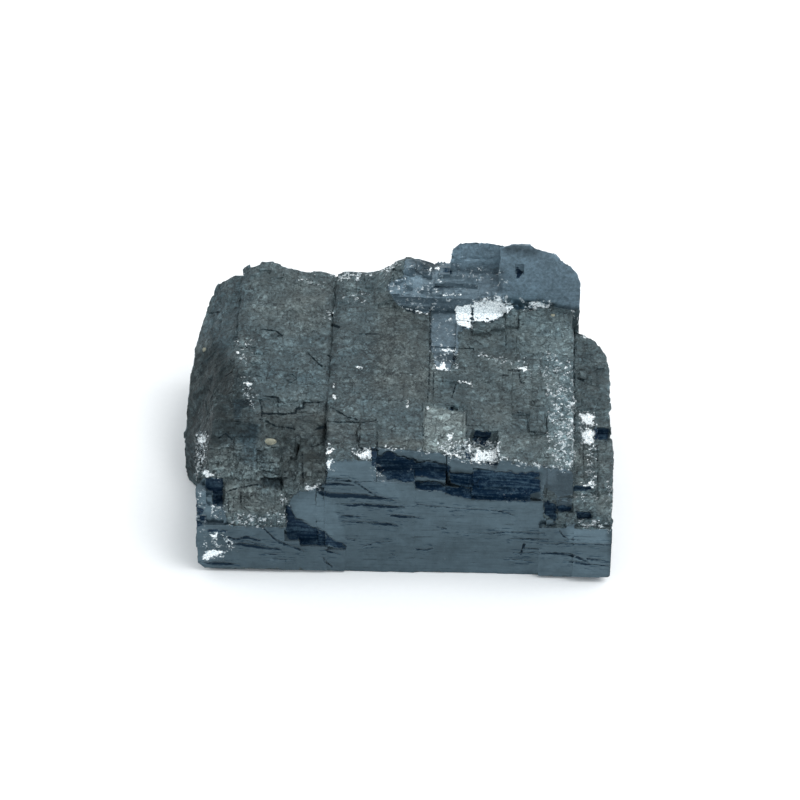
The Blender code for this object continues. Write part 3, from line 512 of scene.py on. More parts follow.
# Soft patches where the colour changes: outline, how soft its edge is in pixels, how brown, how
# blue and how light the patch is beside the rest. Brown and blue are the coat's own tone. The
# lightness is mostly painted light and shade: painted shade in recesses, under the small plates
# and the cream grain and down the left flank, and faces painted lighter or darker for how the
# light falls on them, as on the tall block and along the front.
PATCHES = [
    ([(215, 270), (250, 268), (244, 300), (240, 340), (218, 360), (205, 330)], 6, -0.3, 0.2, -0.20),
    ([(180, 360), (215, 340), (240, 372), (236, 420), (215, 450), (180, 490)], 8, 0.2, 0.0, -0.58),
    ([(234, 404), (243, 404), (240, 414), (238, 424), (234, 418)], 1.5, -0.3, 0.5, -0.60),
    ([(248, 425), (257, 424), (256, 436), (250, 435)], 1.5, -0.3, 0.5, -0.45),
    ([(435, 353), (454, 353), (452, 361), (444, 363), (437, 361)], 1.5, 0.0, 0.0, -0.55),
    ([(496, 296), (530, 297), (530, 308), (512, 310), (498, 306)], 3, 0.0, 0.0, 0.45),
    ([(182, 440), (199, 440), (199, 490), (182, 480)], 4, -0.2, 0.2, -0.05),
    ([(220, 372), (256, 366), (257, 432), (236, 440), (222, 420)], 6, 0.0, 0.2, -0.42),
    ([(222, 428), (262, 425), (262, 450), (240, 448), (222, 445)], 5, 0.0, 0.3, -0.28),
    ([(252, 275), (330, 275), (325, 330), (300, 340), (262, 330), (250, 300)], 10, 0.25, -0.1, 0.05),
    ([(286, 284), (332, 288), (330, 320), (306, 330), (288, 306)], 8, 0.35, -0.1, 0.08),
    ([(262, 330), (325, 330), (326, 396), (262, 396)], 9, -0.1, 0.05, 0.02),
    ([(262, 414), (326, 414), (326, 486), (284, 486), (262, 440)], 7, 0.55, -0.1, -0.44),
    ([(205, 448), (257, 440), (257, 500), (224, 500), (205, 478)], 6, 0.55, -0.1, 0.16),
    ([(230, 490), (281, 488), (285, 512), (228, 514)], 5, 0.95, -0.2, 0.03),
    ([(262, 478), (283, 478), (283, 491), (262, 487)], 1.5, 0.0, 0.5, -0.75),
    ([(284, 437), (300, 440), (299, 452), (286, 450)], 2, 0.0, 0.2, -0.45),
    ([(317, 425), (327, 423), (327, 440), (320, 441)], 1.5, 0.0, 0.2, -0.50),
    ([(268, 446), (284, 447), (284, 453), (268, 450)], 1.5, 0.0, 0.3, -0.45),
    ([(241, 430), (257, 434), (257, 470), (241, 466)], 2, -0.3, 0.5, -0.22),
    ([(214, 438), (232, 442), (236, 456), (218, 458)], 3, 0.0, 0.2, -0.30),
    ([(300, 452), (318, 448), (316, 470), (302, 486)], 4, 0.4, 0.0, -0.10),
    ([(232, 400), (252, 400), (252, 408), (234, 408)], 1.5, -0.3, 0.4, -0.30),
    ([(282, 488), (302, 486), (302, 500), (284, 503)], 4, 0.5, 0.0, 0.0),
    ([(257, 448), (284, 448), (284, 476), (257, 476)], 4, -0.1, 0.1, 0.03),
    ([(333, 285), (344, 285), (340, 340), (334, 400), (326, 400), (328, 340)], 5, 0.0, 0.25, -0.28),
    ([(344, 300), (380, 300), (378, 380), (350, 400), (338, 380)], 9, -0.1, 0.1, -0.10),
    ([(378, 300), (430, 312), (430, 400), (404, 400), (372, 390)], 10, 0.60, -0.2, -0.08),
    ([(374, 400), (424, 400), (423, 440), (378, 440)], 9, 0.0, 0.1, -0.10),
    ([(378, 440), (424, 440), (424, 448), (378, 446)], 3, 0.9, -0.2, -0.10),
    ([(327, 422), (360, 423), (358, 450), (327, 450)], 3, 0.35, 0.0, -0.02),
    ([(360, 423), (377, 423), (377, 448), (359, 448)], 3, 0.0, 0.1, -0.08),
    ([(458, 330), (540, 330), (540, 425), (466, 425), (458, 380)], 10, 0.15, -0.05, -0.05),
    ([(505, 310), (560, 312), (575, 340), (570, 360), (520, 350)], 9, 0.2, 0.0, 0.78),
    ([(424, 405), (466, 413), (466, 444), (444, 452), (423, 450)], 1.5, 0.9, -0.1, 1.0),
    ([(424, 405), (466, 413), (466, 420), (428, 418)], 3, 0.0, 0.0, 0.20),
    ([(497, 433), (555, 434), (560, 466), (500, 458)], 6, 0.35, -0.1, 0.10),
    ([(492, 428), (502, 428), (502, 440), (492, 440)], 1.5, 0.0, 0.2, 0.35),
    ([(545, 350), (575, 365), (575, 470), (550, 466), (545, 400)], 6, 0.0, 0.0, 0.62),
    ([(556, 424), (574, 420), (574, 470), (560, 468)], 3, 0.0, 0.05, 0.32),
    ([(380, 257), (420, 262), (420, 290), (395, 296), (380, 285)], 5, 0.2, 0.0, 0.50),
    ([(445, 262), (505, 268), (505, 296), (470, 300), (436, 296), (421, 285)], 3, 0.0, 0.0, 0.04),
    ([(408, 257), (436, 258), (440, 267), (430, 272), (412, 275)], 3, 0.3, 0.1, -0.75),
    ([(418, 297), (477, 295), (477, 304), (418, 306)], 1.2, 0.0, 0.0, 0.10),
    ([(430, 314), (458, 314), (459, 346), (430, 346)], 2, 0.0, 0.0, -0.10),
    ([(446, 236), (592, 236), (592, 310), (505, 300), (505, 268), (446, 264)], 3, 0.0, 0.0, 0.80),
    ([(500, 243), (542, 248), (536, 257), (506, 253)], 5, 0.0, 0.0, -1.25),
    ([(541, 256), (584, 262), (584, 310), (541, 300)], 6, 0.15, 0.0, -0.32),
    ([(500, 262), (516, 262), (516, 298), (500, 298)], 5, 0.0, 0.0, -0.06),
    ([(579, 330), (609, 350), (611, 420), (580, 410)], 6, 0.0, 0.0, -0.08),
    ([(572, 308), (584, 318), (584, 338), (572, 338)], 3, 0.0, 0.2, -0.35),
    ([(574, 440), (588, 445), (588, 490), (574, 482)], 2, 0.4, 0.0, 0.0),
    ([(596, 445), (612, 445), (612, 520), (598, 520)], 3, 0.25, 0.0, -0.05),
    ([(472, 333), (491, 333), (491, 336.5), (472, 336.5)], 1.0, 0.0, 0.0, -0.6),
    ([(491, 329), (505, 329), (505, 332), (491, 332)], 1.0, 0.0, 0.0, -0.55),
    ([(505, 327), (518, 326.5), (518, 329), (505, 329.5)], 1.0, 0.0, 0.0, -0.45),
    ([(565, 527), (607, 527), (607, 543), (568, 543)], 2.5, 0.0, 0.0, 0.44),
    ([(607, 526), (620, 526), (620, 600), (610, 600)], 2, 0.0, 0.0, -0.35),
    ([(326, 461), (372, 461), (395, 484), (404, 502), (370, 492), (350, 479),
      (326, 477)], 2.5, 0.0, 0.0, 0.24),
    ([(404, 506), (409, 515), (421, 523), (447, 530), (463, 536), (480, 536), (541, 532), (541, 503),
      (470, 499), (404, 490)], 1.2, 0.0, 0.0, 0.09),
    ([(292, 503), (316, 492), (334, 505), (341, 520), (346, 540), (338, 540), (318, 528),
      (298, 516)], 1.2, 0.1, 0.0, 0.27),
    ([(228, 530), (290, 552), (400, 552), (460, 540), (460, 590), (200, 580)], 9, 0.0, 0.0, -0.21),
    ([(190, 552), (620, 560), (620, 600), (190, 600)], 8, 0.0, 0.0, 0.28),
    ([(405, 537), (418, 537), (424, 542), (414, 545), (404, 543)], 1.5, 0.0, 0.0, -0.12),
    ([(544, 471), (556, 472), (556, 484), (545, 484)], 1.5, 0.0, 0.0, 0.25),
    ([(544, 470), (574, 472), (574, 513), (544, 513)], 2, 0.0, 0.0, -0.50),
    ([(197, 490), (213, 492), (213, 513), (200, 513)], 2.5, 0.0, 0.0, 0.45),
    ([(205, 533), (224, 534), (224, 550), (204, 550)], 3, 1.0, -0.2, -0.1),
    ([(447, 470), (541, 473), (541, 502), (470, 500), (447, 492)], 2, 0.0, 0.0, -0.62),
]
# Bare metal that is rough or satin, so it shines less and looks lighter: outline and how much.
SATIN = [
    ([(446, 236), (590, 236), (590, 312), (540, 300), (500, 296), (446, 268)], 1.0),
    ([(396, 290), (480, 290), (480, 306), (430, 314), (396, 306)], 0.8),
    ([(430, 313), (460, 313), (460, 372), (430, 372)], 1.0),
    ([(400, 257), (505, 262), (505, 298), (384, 304)], 0.8),
    ([(544, 470), (574, 470), (574, 512), (544, 512)], 0.4),
    ([(490, 426), (503, 426), (503, 441), (490, 441)], 0.9),
    ([(230, 270), (262, 270), (262, 414), (230, 414)], 0.9),
    ([(582, 352), (591, 352), (591, 360), (582, 360)], 1.0),
]


# The rows from which the front ledges are satin and carry painted shade on top, the corner that
# the coat covers at their right end, and how far up a face looks, each from where it begins to
# where it is full.
LEDGE_DOWN = (452, 462)
CORNER_ACROSS, CORNER_DOWN = (540, 544), (505, 512)
UPWARD = (0.6, 0.9)


def marks_at(points, normals):
    """What the surface is like at some points: a value for each kind of mark."""
    across, down = in_picture(points)
    facing = soft_step(normals @ view_back, -0.03, 0.05)
    cell = np.floor(points / 0.75)
    jump_u = chance(cell[:, 0], cell[:, 1], cell[:, 2], seed=11) - 0.5
    jump_v = chance(cell[:, 0], cell[:, 1], cell[:, 2], seed=12) - 0.5
    sway_u = swells(points, 0.9, 13) + 0.6 * swells(points, 0.4, 14) - 0.8
    sway_v = swells(points, 0.9, 15) + 0.6 * swells(points, 0.4, 16) - 0.8
    u, v = across + 1.6 * jump_u + 1.8 * sway_u, down + 1.6 * jump_v + 1.8 * sway_v
    fine_u, fine_v = across + 0.5 * sway_u, down + 0.5 * sway_v
    x, y, z = points.T
    ax, ay, az = np.abs(normals).T
    sideways = ax > np.maximum(ay, az)
    level = az >= np.maximum(ax, ay)
    a = np.where(sideways, y, x)
    b = np.where(level, y, z)

    def mixed(seen, unseen):
        return unseen + (seen - unseen) * facing

    def covered(outline, soft, reach):
        return soft_step(depth_in(u, v, [outline], reach), -soft, soft)

    lot = bricks(a, b, *BIG_BLOCKS)
    small_lot = bricks(a, b, *SMALL_BLOCKS)
    low_right = np.clip((14 + 8 * (lot - 0.5) - z) * 3, -MARK_REACH, MARK_REACH)
    away_bare = np.where(sideways & (x > 0), low_right, (lot - 0.66) * 30 + 3 * (small_lot - 0.5))
    away_bare = np.where(level, (lot - 0.9) * 30, away_bare)
    split_row = np.floor(z / 0.9)
    split = 1.1 - np.abs(z / 0.9 - split_row - 0.5) * 5 - 14 * np.maximum(
        0.0, 0.80 - chance(split_row, np.floor(a / 6.0), seed=31)) + 1.2 * (swells(points, 1.5, 33) - 0.5)
    away_step = np.where(level | (away_bare <= 0), -MARK_REACH, np.clip(split, -MARK_REACH, 3))
    away_crack = np.clip(1.1 - 34 * np.abs(swells(points * [1, 1, 1.4], 5.0, 35) - 0.5)
                         - 6 * (swells(points, 7.0, 36) > 0.45), -MARK_REACH, 1.2)
    marks = {
        "bare": mixed(depth_in(u, v, BARE), away_bare),
        "step": mixed(depth_in(u, v, STEPS), away_step),
        "split": mixed(depth_in_lines(fine_u, fine_v, SPLITS) - 0.25, away_step),
        "crack": mixed(depth_in_lines(fine_u, fine_v, CRACKS) + 0.1, away_crack),
        "flash": mixed(depth_in(u, v, FLASHES), -MARK_REACH + 0 * x),
    }
    sparkle = 0 * x
    for outline, thickness in SPARKLING:
        sparkle = np.maximum(sparkle, covered(outline, 2.0, 4) * thickness)
    marks["sparkle"] = mixed(sparkle, 0.14 * soft_step(np.abs(away_bare), 2.5, 0.5))
    # How light each place is: mostly painted light and shade from the patches, and on the sides that face
    # away a tone by chance.
    brown, blue, light = 0 * x, 0 * x, 0 * x
    for outline, soft, more_brown, more_blue, more_painted_light_and_tone in PATCHES:
        inside = covered(outline, soft, soft + 1)
        brown += inside * more_brown
        blue += inside * more_blue
        light += inside * more_painted_light_and_tone
    marks["brown"] = mixed(brown, 1.4 * (swells(points, 9.0, 41) - 0.45))
    marks["blue"] = mixed(blue, 0.5 * (swells(points, 6.0, 42) - 0.5))
    marks["light"] = mixed(light, 0.3 * (lot - 0.5) + 0.2 * (small_lot - 0.5))
    upward = soft_step(normals[:, 2], *UPWARD)
    ledge = upward * soft_step(down, *LEDGE_DOWN)
    corner = soft_step(across, *CORNER_ACROSS) * soft_step(down, *CORNER_DOWN)
    marks["bare"] -= 12 * facing * upward * corner
    on_metal = soft_step(marks["bare"], *BARE_EDGE)
    # Painted shade on the tops of the front ledges, and painted light on the coat where it faces the front.
    marks["light"] -= 0.32 * on_metal * ledge
    marks["light"] += 0.50 * (1 - on_metal) * facing * soft_step(-normals[:, 1], 0.45, 0.9)
    marks["light"] = np.maximum(marks["light"], -0.68)
    satin = 0 * x
    for outline, amount in SATIN:
        satin = np.maximum(satin, amount * covered(outline, 1.5, 4))
    marks["satin"] = mixed(np.maximum(satin, 0.85 * ledge), 0.35 + 0 * x)
    return marks


# The relief. Fresh faces stay flat. Weathered ones swell a little, lie in blocks a tenth of a
# millimetre high or low, and lose their sharp edges, while cracks and splits are cut in.
# Places are in the photograph's pixels, as for the marks, and depths are in millimetres.
SEAM_LINE = [[(335, 272, 3), (337, 300, 4), (335, 340, 4), (331, 390, 4), (328, 436, 3)]]
BLOCK_LINE = [[(507, 238, 3), (507, 262, 3), (506, 298, 3)]]
ROUGH_FRONT = [[(205, 388), (327, 388), (327, 494), (222, 503), (205, 478)]]
DEEP_RECESS = [[(262, 478), (283, 478), (283, 491), (262, 487)]]
SHALLOW_RECESS = [[(257, 449), (283, 449), (283, 475), (257, 475)]]
BACK_LEDGES_ACROSS, BACK_LEDGES_DOWN, LOW_WALL_DOWN = 508, 300, 530
SIDE_WALLS_X, BACK_WALL_Y = 27.0, 18.0
SEAM_X, SEAM_NEAR, RAISED_BLOCK_Y = -11.5, 3.0, 10.0
PLATE_LEFT_X, PLATE_WEAR_X, PLATE_WEAR_WIDTH = -11.9, -9.4, 2.3
PLATE_TOP_Z, PLATE_FRONT_Y = (24.6, 25.4), (-9.0, -6.0)
PLATE_WEAR, RECESS_DEPTH = 0.45, 0.9
FRONT_WEAR_TURNS, SEAM_WEAR_TURNS, COAT_WEAR_TURNS = 26, 8, 3
CRACK_DEPTH, SPLIT_DEPTH, STEP_DEPTH, WALL_DEPTH = 0.24, 0.30, 0.16, 0.55

points, normals = read_points(lump_mesh)
marks = marks_at(points, normals)
bare = soft_step(marks["bare"], *BARE_EDGE)
coat = 1 - bare

edges = np.empty(len(lump_mesh.edges) * 2, np.int32)
lump_mesh.edges.foreach_get("vertices", edges)
edges = edges.reshape(-1, 2)
links = np.bincount(edges.ravel(), minlength=len(points))


def relaxed(values):
    """Each point's value becomes the mean of its neighbours' values."""
    total = np.zeros_like(values)
    for k in range(values.shape[1]):
        total[:, k] += np.bincount(edges[:, 0], values[edges[:, 1], k], len(values))
        total[:, k] += np.bincount(edges[:, 1], values[edges[:, 0], k], len(values))
    return total / links[:, None]


sway = np.stack([swells(points, 1.9, 50 + k) + 0.5 * swells(points, 0.8, 53 + k) - 0.75
                 for k in range(3)], 1)
points = points + sway * (0.42 * coat + 0.08 * bare)[:, None]

# Edges and the rough front of the left column are worn down.
across, down = in_picture(points)
plate_edge = np.clip((PLATE_WEAR_X - points[:, 0]) / PLATE_WEAR_WIDTH, 0, 1) ** 2
plate_edge *= (points[:, 0] > PLATE_LEFT_X) * soft_step(points[:, 2], *PLATE_TOP_Z)
plate_edge *= soft_step(points[:, 1], *PLATE_FRONT_Y)
near_seam = soft_step(depth_in_lines(across, down, SEAM_LINE), -3.0, 0.0)
near_seam *= np.abs(points[:, 0] - SEAM_X) < SEAM_NEAR
near_block = soft_step(depth_in_lines(across, down, BLOCK_LINE), -3.0, 0.0)
near_block *= points[:, 1] > RAISED_BLOCK_Y
seam_part = np.maximum(near_seam, near_block)
rough_front = soft_step(depth_in(across, down, ROUGH_FRONT), -4.0, 4.0) * coat
points[:, 2] -= PLATE_WEAR * plate_edge
points = points + sway[:, [1, 2, 0]] * (0.55 * rough_front)[:, None]
for turn in range(FRONT_WEAR_TURNS):
    amount = np.maximum(0.95 * rough_front, 0.7 * seam_part * (turn < SEAM_WEAR_TURNS))
    if turn < COAT_WEAR_TURNS:
        amount = np.maximum(amount, 0.7 * coat)
    points = points + (relaxed(points) - points) * amount[:, None]

# The column's front is set back in two places, and lies in small blocks of two sizes.
recessed = soft_step(depth_in(across, down, DEEP_RECESS), -0.8, 0.8)
recessed = recessed + 0.5 * soft_step(depth_in(across, down, SHALLOW_RECESS), -0.8, 0.8)
points[:, 1] += RECESS_DEPTH * recessed
row = np.floor(points[:, 2] / 1.9 + 0.5 * swells(points, 2.5, 57))
stand = np.floor(points[:, 0] / 1.7 + 5 * chance(row, seed=58) + 0.6 * swells(points, 1.6, 56))
points[:, 1] -= 0.85 * rough_front * (chance(stand, row, seed=58) - 0.5)
row = np.floor(points[:, 2] / 0.8 + 0.5 * swells(points, 1.5, 55))
stand = np.floor(points[:, 0] / 0.9 + 3 * chance(row, seed=60))
points[:, 1] -= 0.40 * rough_front * (chance(stand, row, seed=59) - 0.5)

# Swells and blocks over the whole coat, and what is cut into the surface.
x, y, z = points.T
ax, ay, az = np.abs(normals).T
a = np.where(ax > np.maximum(ay, az), y, x)
b = np.where(az >= np.maximum(ax, ay), y, z)
height = 0.26 * (swells(points, 5.5, 61) - 0.5) + 0.16 * (swells(points, 2.2, 62) - 0.5)
height += 0.28 * (bricks(a, b, 7.0, 4.4, 63) - 0.5) + 0.18 * (bricks(a, b, 2.9, 1.7, 66) - 0.5)
facing = soft_step(normals @ view_back, 0.04, 0.24)
height += facing * (0.12 * (swells(points, 0.75, 71) - 0.5) + 0.10 * (swells(points, 0.38, 72) - 0.5))
height *= coat
outer_wall = (np.abs(x) > SIDE_WALLS_X) | (y > BACK_WALL_Y) | (down > LOW_WALL_DOWN)
outer_wall = outer_wall & (az < 0.9) & (normals[:, 2] < 0.3)
height -= (1 - facing) * WALL_DEPTH * bricks(a, b, *BIG_BLOCKS) * outer_wall
glitter = soft_step(marks["sparkle"], 0.05, 0.35)
back_ledges = soft_step(marks["satin"], 0.3, 0.7) * bare
back_ledges *= (down < BACK_LEDGES_DOWN) & (across < BACK_LEDGES_ACROSS)
height += 0.22 * back_ledges * (bricks(a, b, 1.7, 0.9, 68) - 0.5)
crumb = chance(np.floor(x / 0.36), np.floor(y / 0.36), np.floor(z / 0.36), seed=84)
height += glitter * (0.20 * (bricks(a, b, 0.85, 0.55, 81) - 0.5) + 0.12 * (crumb - 0.5))
height -= CRACK_DEPTH * soft_step(marks["crack"], -0.7, 1.0)
height -= SPLIT_DEPTH * soft_step(marks["split"], -0.9, 0.8)
height -= STEP_DEPTH * soft_step(marks["step"], -0.6, 0.8) * (1 + 0.8 * (bricks(a, b, 1.4, 0.42, 86) - 0.5))
height[(normals[:, 2] < -0.8) & (z < 0.6)] = 0
points = points + normals * height[:, None]
points[:, 2] = np.maximum(points[:, 2], 0.0)
lump_mesh.vertices.foreach_set("co", (points / 1000).astype(np.float32).ravel())
lump_mesh.update()

# The net is thinned where nothing happens, and kept close along cracks and coloured edges.
# Then it is smooth but for its sharp edges, and carries the marks for the finish.
LUMP_TRIANGLES = 192000
KEEP_LEVELS = 40
SHARP_ANGLE = math.radians(38)
near_mark = np.full(len(points), -MARK_REACH)
for kind in ("bare", "step", "split", "crack", "flash"):
    near_mark = np.maximum(near_mark, -np.abs(marks[kind]))
keep = 0.03 + 0.20 * facing + 0.77 * facing * soft_step(near_mark, -2.4, -0.8)
group = lump.vertex_groups.new(name="keep")
levels = np.round(np.clip(keep, 0, 1) * KEEP_LEVELS).astype(int)
for level in range(KEEP_LEVELS + 1):
    members = np.nonzero(levels == level)[0]
    if len(members):
        group.add(members.tolist(), level / KEEP_LEVELS, "REPLACE")
thin = lump.modifiers.new("thin", "DECIMATE")
thin.ratio = min(1.0, LUMP_TRIANGLES / 2 / len(lump_mesh.polygons))
thin.vertex_group = "keep"
thin.invert_vertex_group = True
thin.vertex_group_factor = 0.003
thin.use_collapse_triangulate = True
lump_mesh = settle(lump)
lump.vertex_groups.clear()
lump_mesh.polygons.foreach_set("use_smooth", [True] * len(lump_mesh.polygons))
lump_mesh.set_sharp_from_angle(angle=SHARP_ANGLE)

points, normals = read_points(lump_mesh)
for kind, values in marks_at(points, normals).items():
    layer = lump_mesh.attributes.new(kind, "FLOAT", "POINT")
    layer.data.foreach_set("value", values.astype(np.float32))

# The lump's finish. One surface that goes from a dull, speckled grey coat to bare blue-grey
# metal, near-black steps and white flashes, each where its mark says, with ragged edges. The black
# of the steps, splits and cracks is painted shade, the white of the flashes and glints is painted
# highlight, and the light mark paints light and shade into the coat and the metal.
COAT_GREY, COAT_BROWN = (0.053, 0.093, 0.111, 1), (0.081, 0.100, 0.100, 1)
COAT_BLUE, COAT_FLECK = (0.039, 0.074, 0.096, 1), (0.20, 0.245, 0.26, 1)
COAT_LINE, COAT_PIT = (0.011, 0.018, 0.022, 1), (0.009, 0.015, 0.018, 1)
METAL_BRIGHT, METAL_SATIN = (0.069, 0.101, 0.121, 1), (0.086, 0.127, 0.156, 1)
STEP_SHADE_BLACK, STEP_SHADE_BLUE = (0.0009, 0.0096, 0.0260, 1), (0.036, 0.067, 0.097, 1)
SPLIT_SHADE_BLACK, SPLIT_SIDE_SHADE = (0.0018, 0.0110, 0.0240, 1), (0.006, 0.021, 0.040, 1)
CRACK_SHADE_BLACK = (0.005, 0.010, 0.014, 1)
GLINT_DIM, GLINT_BRIGHT = (0.16, 0.20, 0.22, 1), (0.86, 0.91, 0.93, 1)
GLINT_EDGE, FLASH_HIGHLIGHT_WHITE = (0.33, 0.41, 0.45, 1), (0.93, 0.975, 0.985, 1)


def material(name):
    """A new material, with its node tree and its surface."""
    made = bpy.data.materials.new(name)
    made.use_nodes = True
    return made, made.node_tree, made.node_tree.nodes["Principled BSDF"]


def put(tree, kind, values, **settings):
    """Add a node. A value is a number, a colour or the output that it comes from."""
    made = tree.nodes.new(kind)
    for name, setting in settings.items():
        setattr(made, name, setting)
    for socket, value in values.items():
        if isinstance(value, bpy.types.NodeSocket):
            tree.links.new(value, made.inputs[socket])
        else:
            made.inputs[socket].default_value = value
    return made


def maths(tree, operation, first, second=0.0, third=0.0):
    """The result of a sum on numbers or outputs."""
    return put(tree, "ShaderNodeMath", {0: first, 1: second, 2: third}, operation=operation).outputs[0]


def between(tree, value, low, high, first=0.0, last=1.0):
    """First below low, last above high, and smooth between."""
    return put(tree, "ShaderNodeMapRange", {0: value, 1: low, 2: high, 3: first, 4: last},
               interpolation_type="SMOOTHSTEP").outputs[0]


def toned(tree, amount, *sources):
    """An amount multiplied by each source, which has its low and high, and what it gives there."""
    for source in sources:
        amount = maths(tree, "MULTIPLY", amount, between(tree, *source))
    return amount


def raised(tree, height, *parts):
    """A height raised by some parts of the surface, each with how far."""
    for part, rise in parts:
        height = maths(tree, "MULTIPLY_ADD", part, rise, height)
    return height


def uneven(tree, value, *noises):
    """A value moved up and down by some noises, each with how far."""
    return raised(tree, value, *[(maths(tree, "SUBTRACT", wave, 0.5), move) for wave, move in noises])


def weigh(tree, factor, first, second):
    """One number turning into another."""
    return put(tree, "ShaderNodeMix", {0: factor, 2: first, 3: second}, data_type="FLOAT").outputs[0]


def blend(tree, factor, first, second):
    """One colour turning into another."""
    return put(tree, "ShaderNodeMix", {0: factor, 6: first, 7: second}, data_type="RGBA").outputs[2]


def painted(tree, under, part, strength, colour):
    """A colour laid at some strength over part of another."""
    return blend(tree, maths(tree, "MULTIPLY", part, strength), under, colour)


def shaded(tree, colour, amount):
    """A colour made lighter or darker by an amount around one."""
    grey = put(tree, "ShaderNodeCombineColor", {0: amount, 1: amount, 2: amount}).outputs[0]
    return put(tree, "ShaderNodeMix", {0: 1.0, 6: colour, 7: grey}, data_type="RGBA",
               blend_type="MULTIPLY").outputs[2]


def mark(tree, kind):
    """The value of a mark."""
    return put(tree, "ShaderNodeAttribute", {}, attribute_name=kind).outputs["Fac"]


def millimetres(tree, across=1000, deep=1000, high=1000):
    """Where a place on the piece is, in millimetres unless it is stretched by other numbers."""
    place = put(tree, "ShaderNodeTexCoord", {}).outputs["Object"]
    return put(tree, "ShaderNodeMapping", {0: place, 3: (across, deep, high)}).outputs[0]


def noise(tree, place, scale, detail, roughness, distortion=0.0, output=0):
    """Cloudy noise, around a half."""
    made = put(tree, "ShaderNodeTexNoise", {"Vector": place, "Scale": scale, "Detail": detail,
                                            "Roughness": roughness, "Distortion": distortion})
    return made.outputs[output]


def grains_of(tree, place, scale, randomness=1.0):
    """Three chances for each grain of a grainy surface."""
    cells = put(tree, "ShaderNodeTexVoronoi", {"Vector": place, "Scale": scale, "Randomness": randomness})
    return put(tree, "ShaderNodeSeparateColor", {0: cells.outputs["Color"]}).outputs


def grain_edges(tree, place, scale):
    """How far a place is from the edge of its grain."""
    return put(tree, "ShaderNodeTexVoronoi", {"Vector": place, "Scale": scale},
               feature="DISTANCE_TO_EDGE").outputs[0]


def vector_maths(tree, operation, first, second=(0, 0, 0), third=(0, 0, 0)):
    """The result of a sum on places."""
    return put(tree, "ShaderNodeVectorMath", {0: first, 1: second, 2: third}, operation=operation).outputs[0]


def blocks(tree, place, across, deep, high):
    """Square-cut blocks as the stone cleaves: a chance for each, and how far inside one a place is."""
    spread = put(tree, "ShaderNodeMapping", {0: place, 3: (1 / across, 1 / deep, 1 / high)}).outputs[0]
    row = vector_maths(tree, "FLOOR", vector_maths(tree, "MULTIPLY", spread, (0, 1, 1)))
    shift = put(tree, "ShaderNodeTexWhiteNoise", {0: row}).outputs[0]
    spread = vector_maths(tree, "ADD", spread, put(tree, "ShaderNodeCombineXYZ", {0: shift}).outputs[0])
    cell = vector_maths(tree, "FLOOR", spread)
    luck = put(tree, "ShaderNodeTexWhiteNoise", {0: cell}).outputs[0]
    part = put(tree, "ShaderNodeSeparateXYZ", {0: vector_maths(tree, "SUBTRACT", spread, cell)})
    inside = 9.0
    for axis, width in enumerate((across, deep, high)):
        from_middle = maths(tree, "ABSOLUTE", maths(tree, "SUBTRACT", part.outputs[axis], 0.5))
        gap = maths(tree, "MULTIPLY", maths(tree, "SUBTRACT", 0.5, from_middle), width)
        inside = maths(tree, "MINIMUM", inside, gap)
    return luck, inside


# The noises that the finish is made of.
stone, tree, shader = material("galena_stone")
mm = millimetres(tree)
big = noise(tree, mm, 0.2, 4.0, 0.6)
middle = noise(tree, mm, 0.85, 7.0, 0.7)
fine = noise(tree, mm, 1.7, 5.0, 0.85)
clouds = noise(tree, mm, 0.22, 6.0, 0.68, 0.5)
scabs = noise(tree, mm, 0.6, 9.0, 0.66, 0.9)
chips = noise(tree, mm, 1.5, 4.0, 0.62, 1.2)
glints = noise(tree, mm, 1.2, 6.0, 0.66, 0.9)
levels = noise(tree, millimetres(tree, 160, 160, 2600), 1.0, 5.0, 0.65)
uprights = noise(tree, millimetres(tree, 1700, 130, 130), 1.0, 4.0, 0.6)
drawn = noise(tree, millimetres(tree, 110, 110, 420), 1.0, 6.0, 0.6, 0.7)
jags = noise(tree, millimetres(tree, 520, 520, 3300), 1.0, 4.0, 0.6)
bent = put(tree, "ShaderNodeMix", {0: 0.4, 4: mm, 5: noise(tree, mm, 1.6, 4.0, 0.7, output="Color")},
           data_type="VECTOR").outputs[1]
curls = noise(tree, bent, 0.75, 3.0, 0.6)
grain = grains_of(tree, bent, 3.8)
flake = grains_of(tree, mm, 2.3, 0.9)
warped = noise(tree, mm, 0.5, 5.0, 0.7, output="Color")
warped = vector_maths(tree, "MULTIPLY_ADD", warped, (1.3, 1.3, 1.3), mm)
big_luck, big_inside = blocks(tree, warped, 5.2, 4.1, 3.3)
small_luck, small_inside = blocks(tree, warped, 1.9, 1.3, 1.1)
blocky = between(tree, clouds, 0.46, 0.54)

# The coat: its colour, its speckle, then its curls, checks, joints, pits and pale flecks.
brown = uneven(tree, mark(tree, "brown"), (big, 1.0), (clouds, 2.5))
coat = blend(tree, between(tree, brown, -1.225, 1.275), COAT_GREY, COAT_BROWN)
coat = blend(tree, between(tree, mark(tree, "blue"), 0.0, 1.0, 0.0, 0.8), coat, COAT_BLUE)
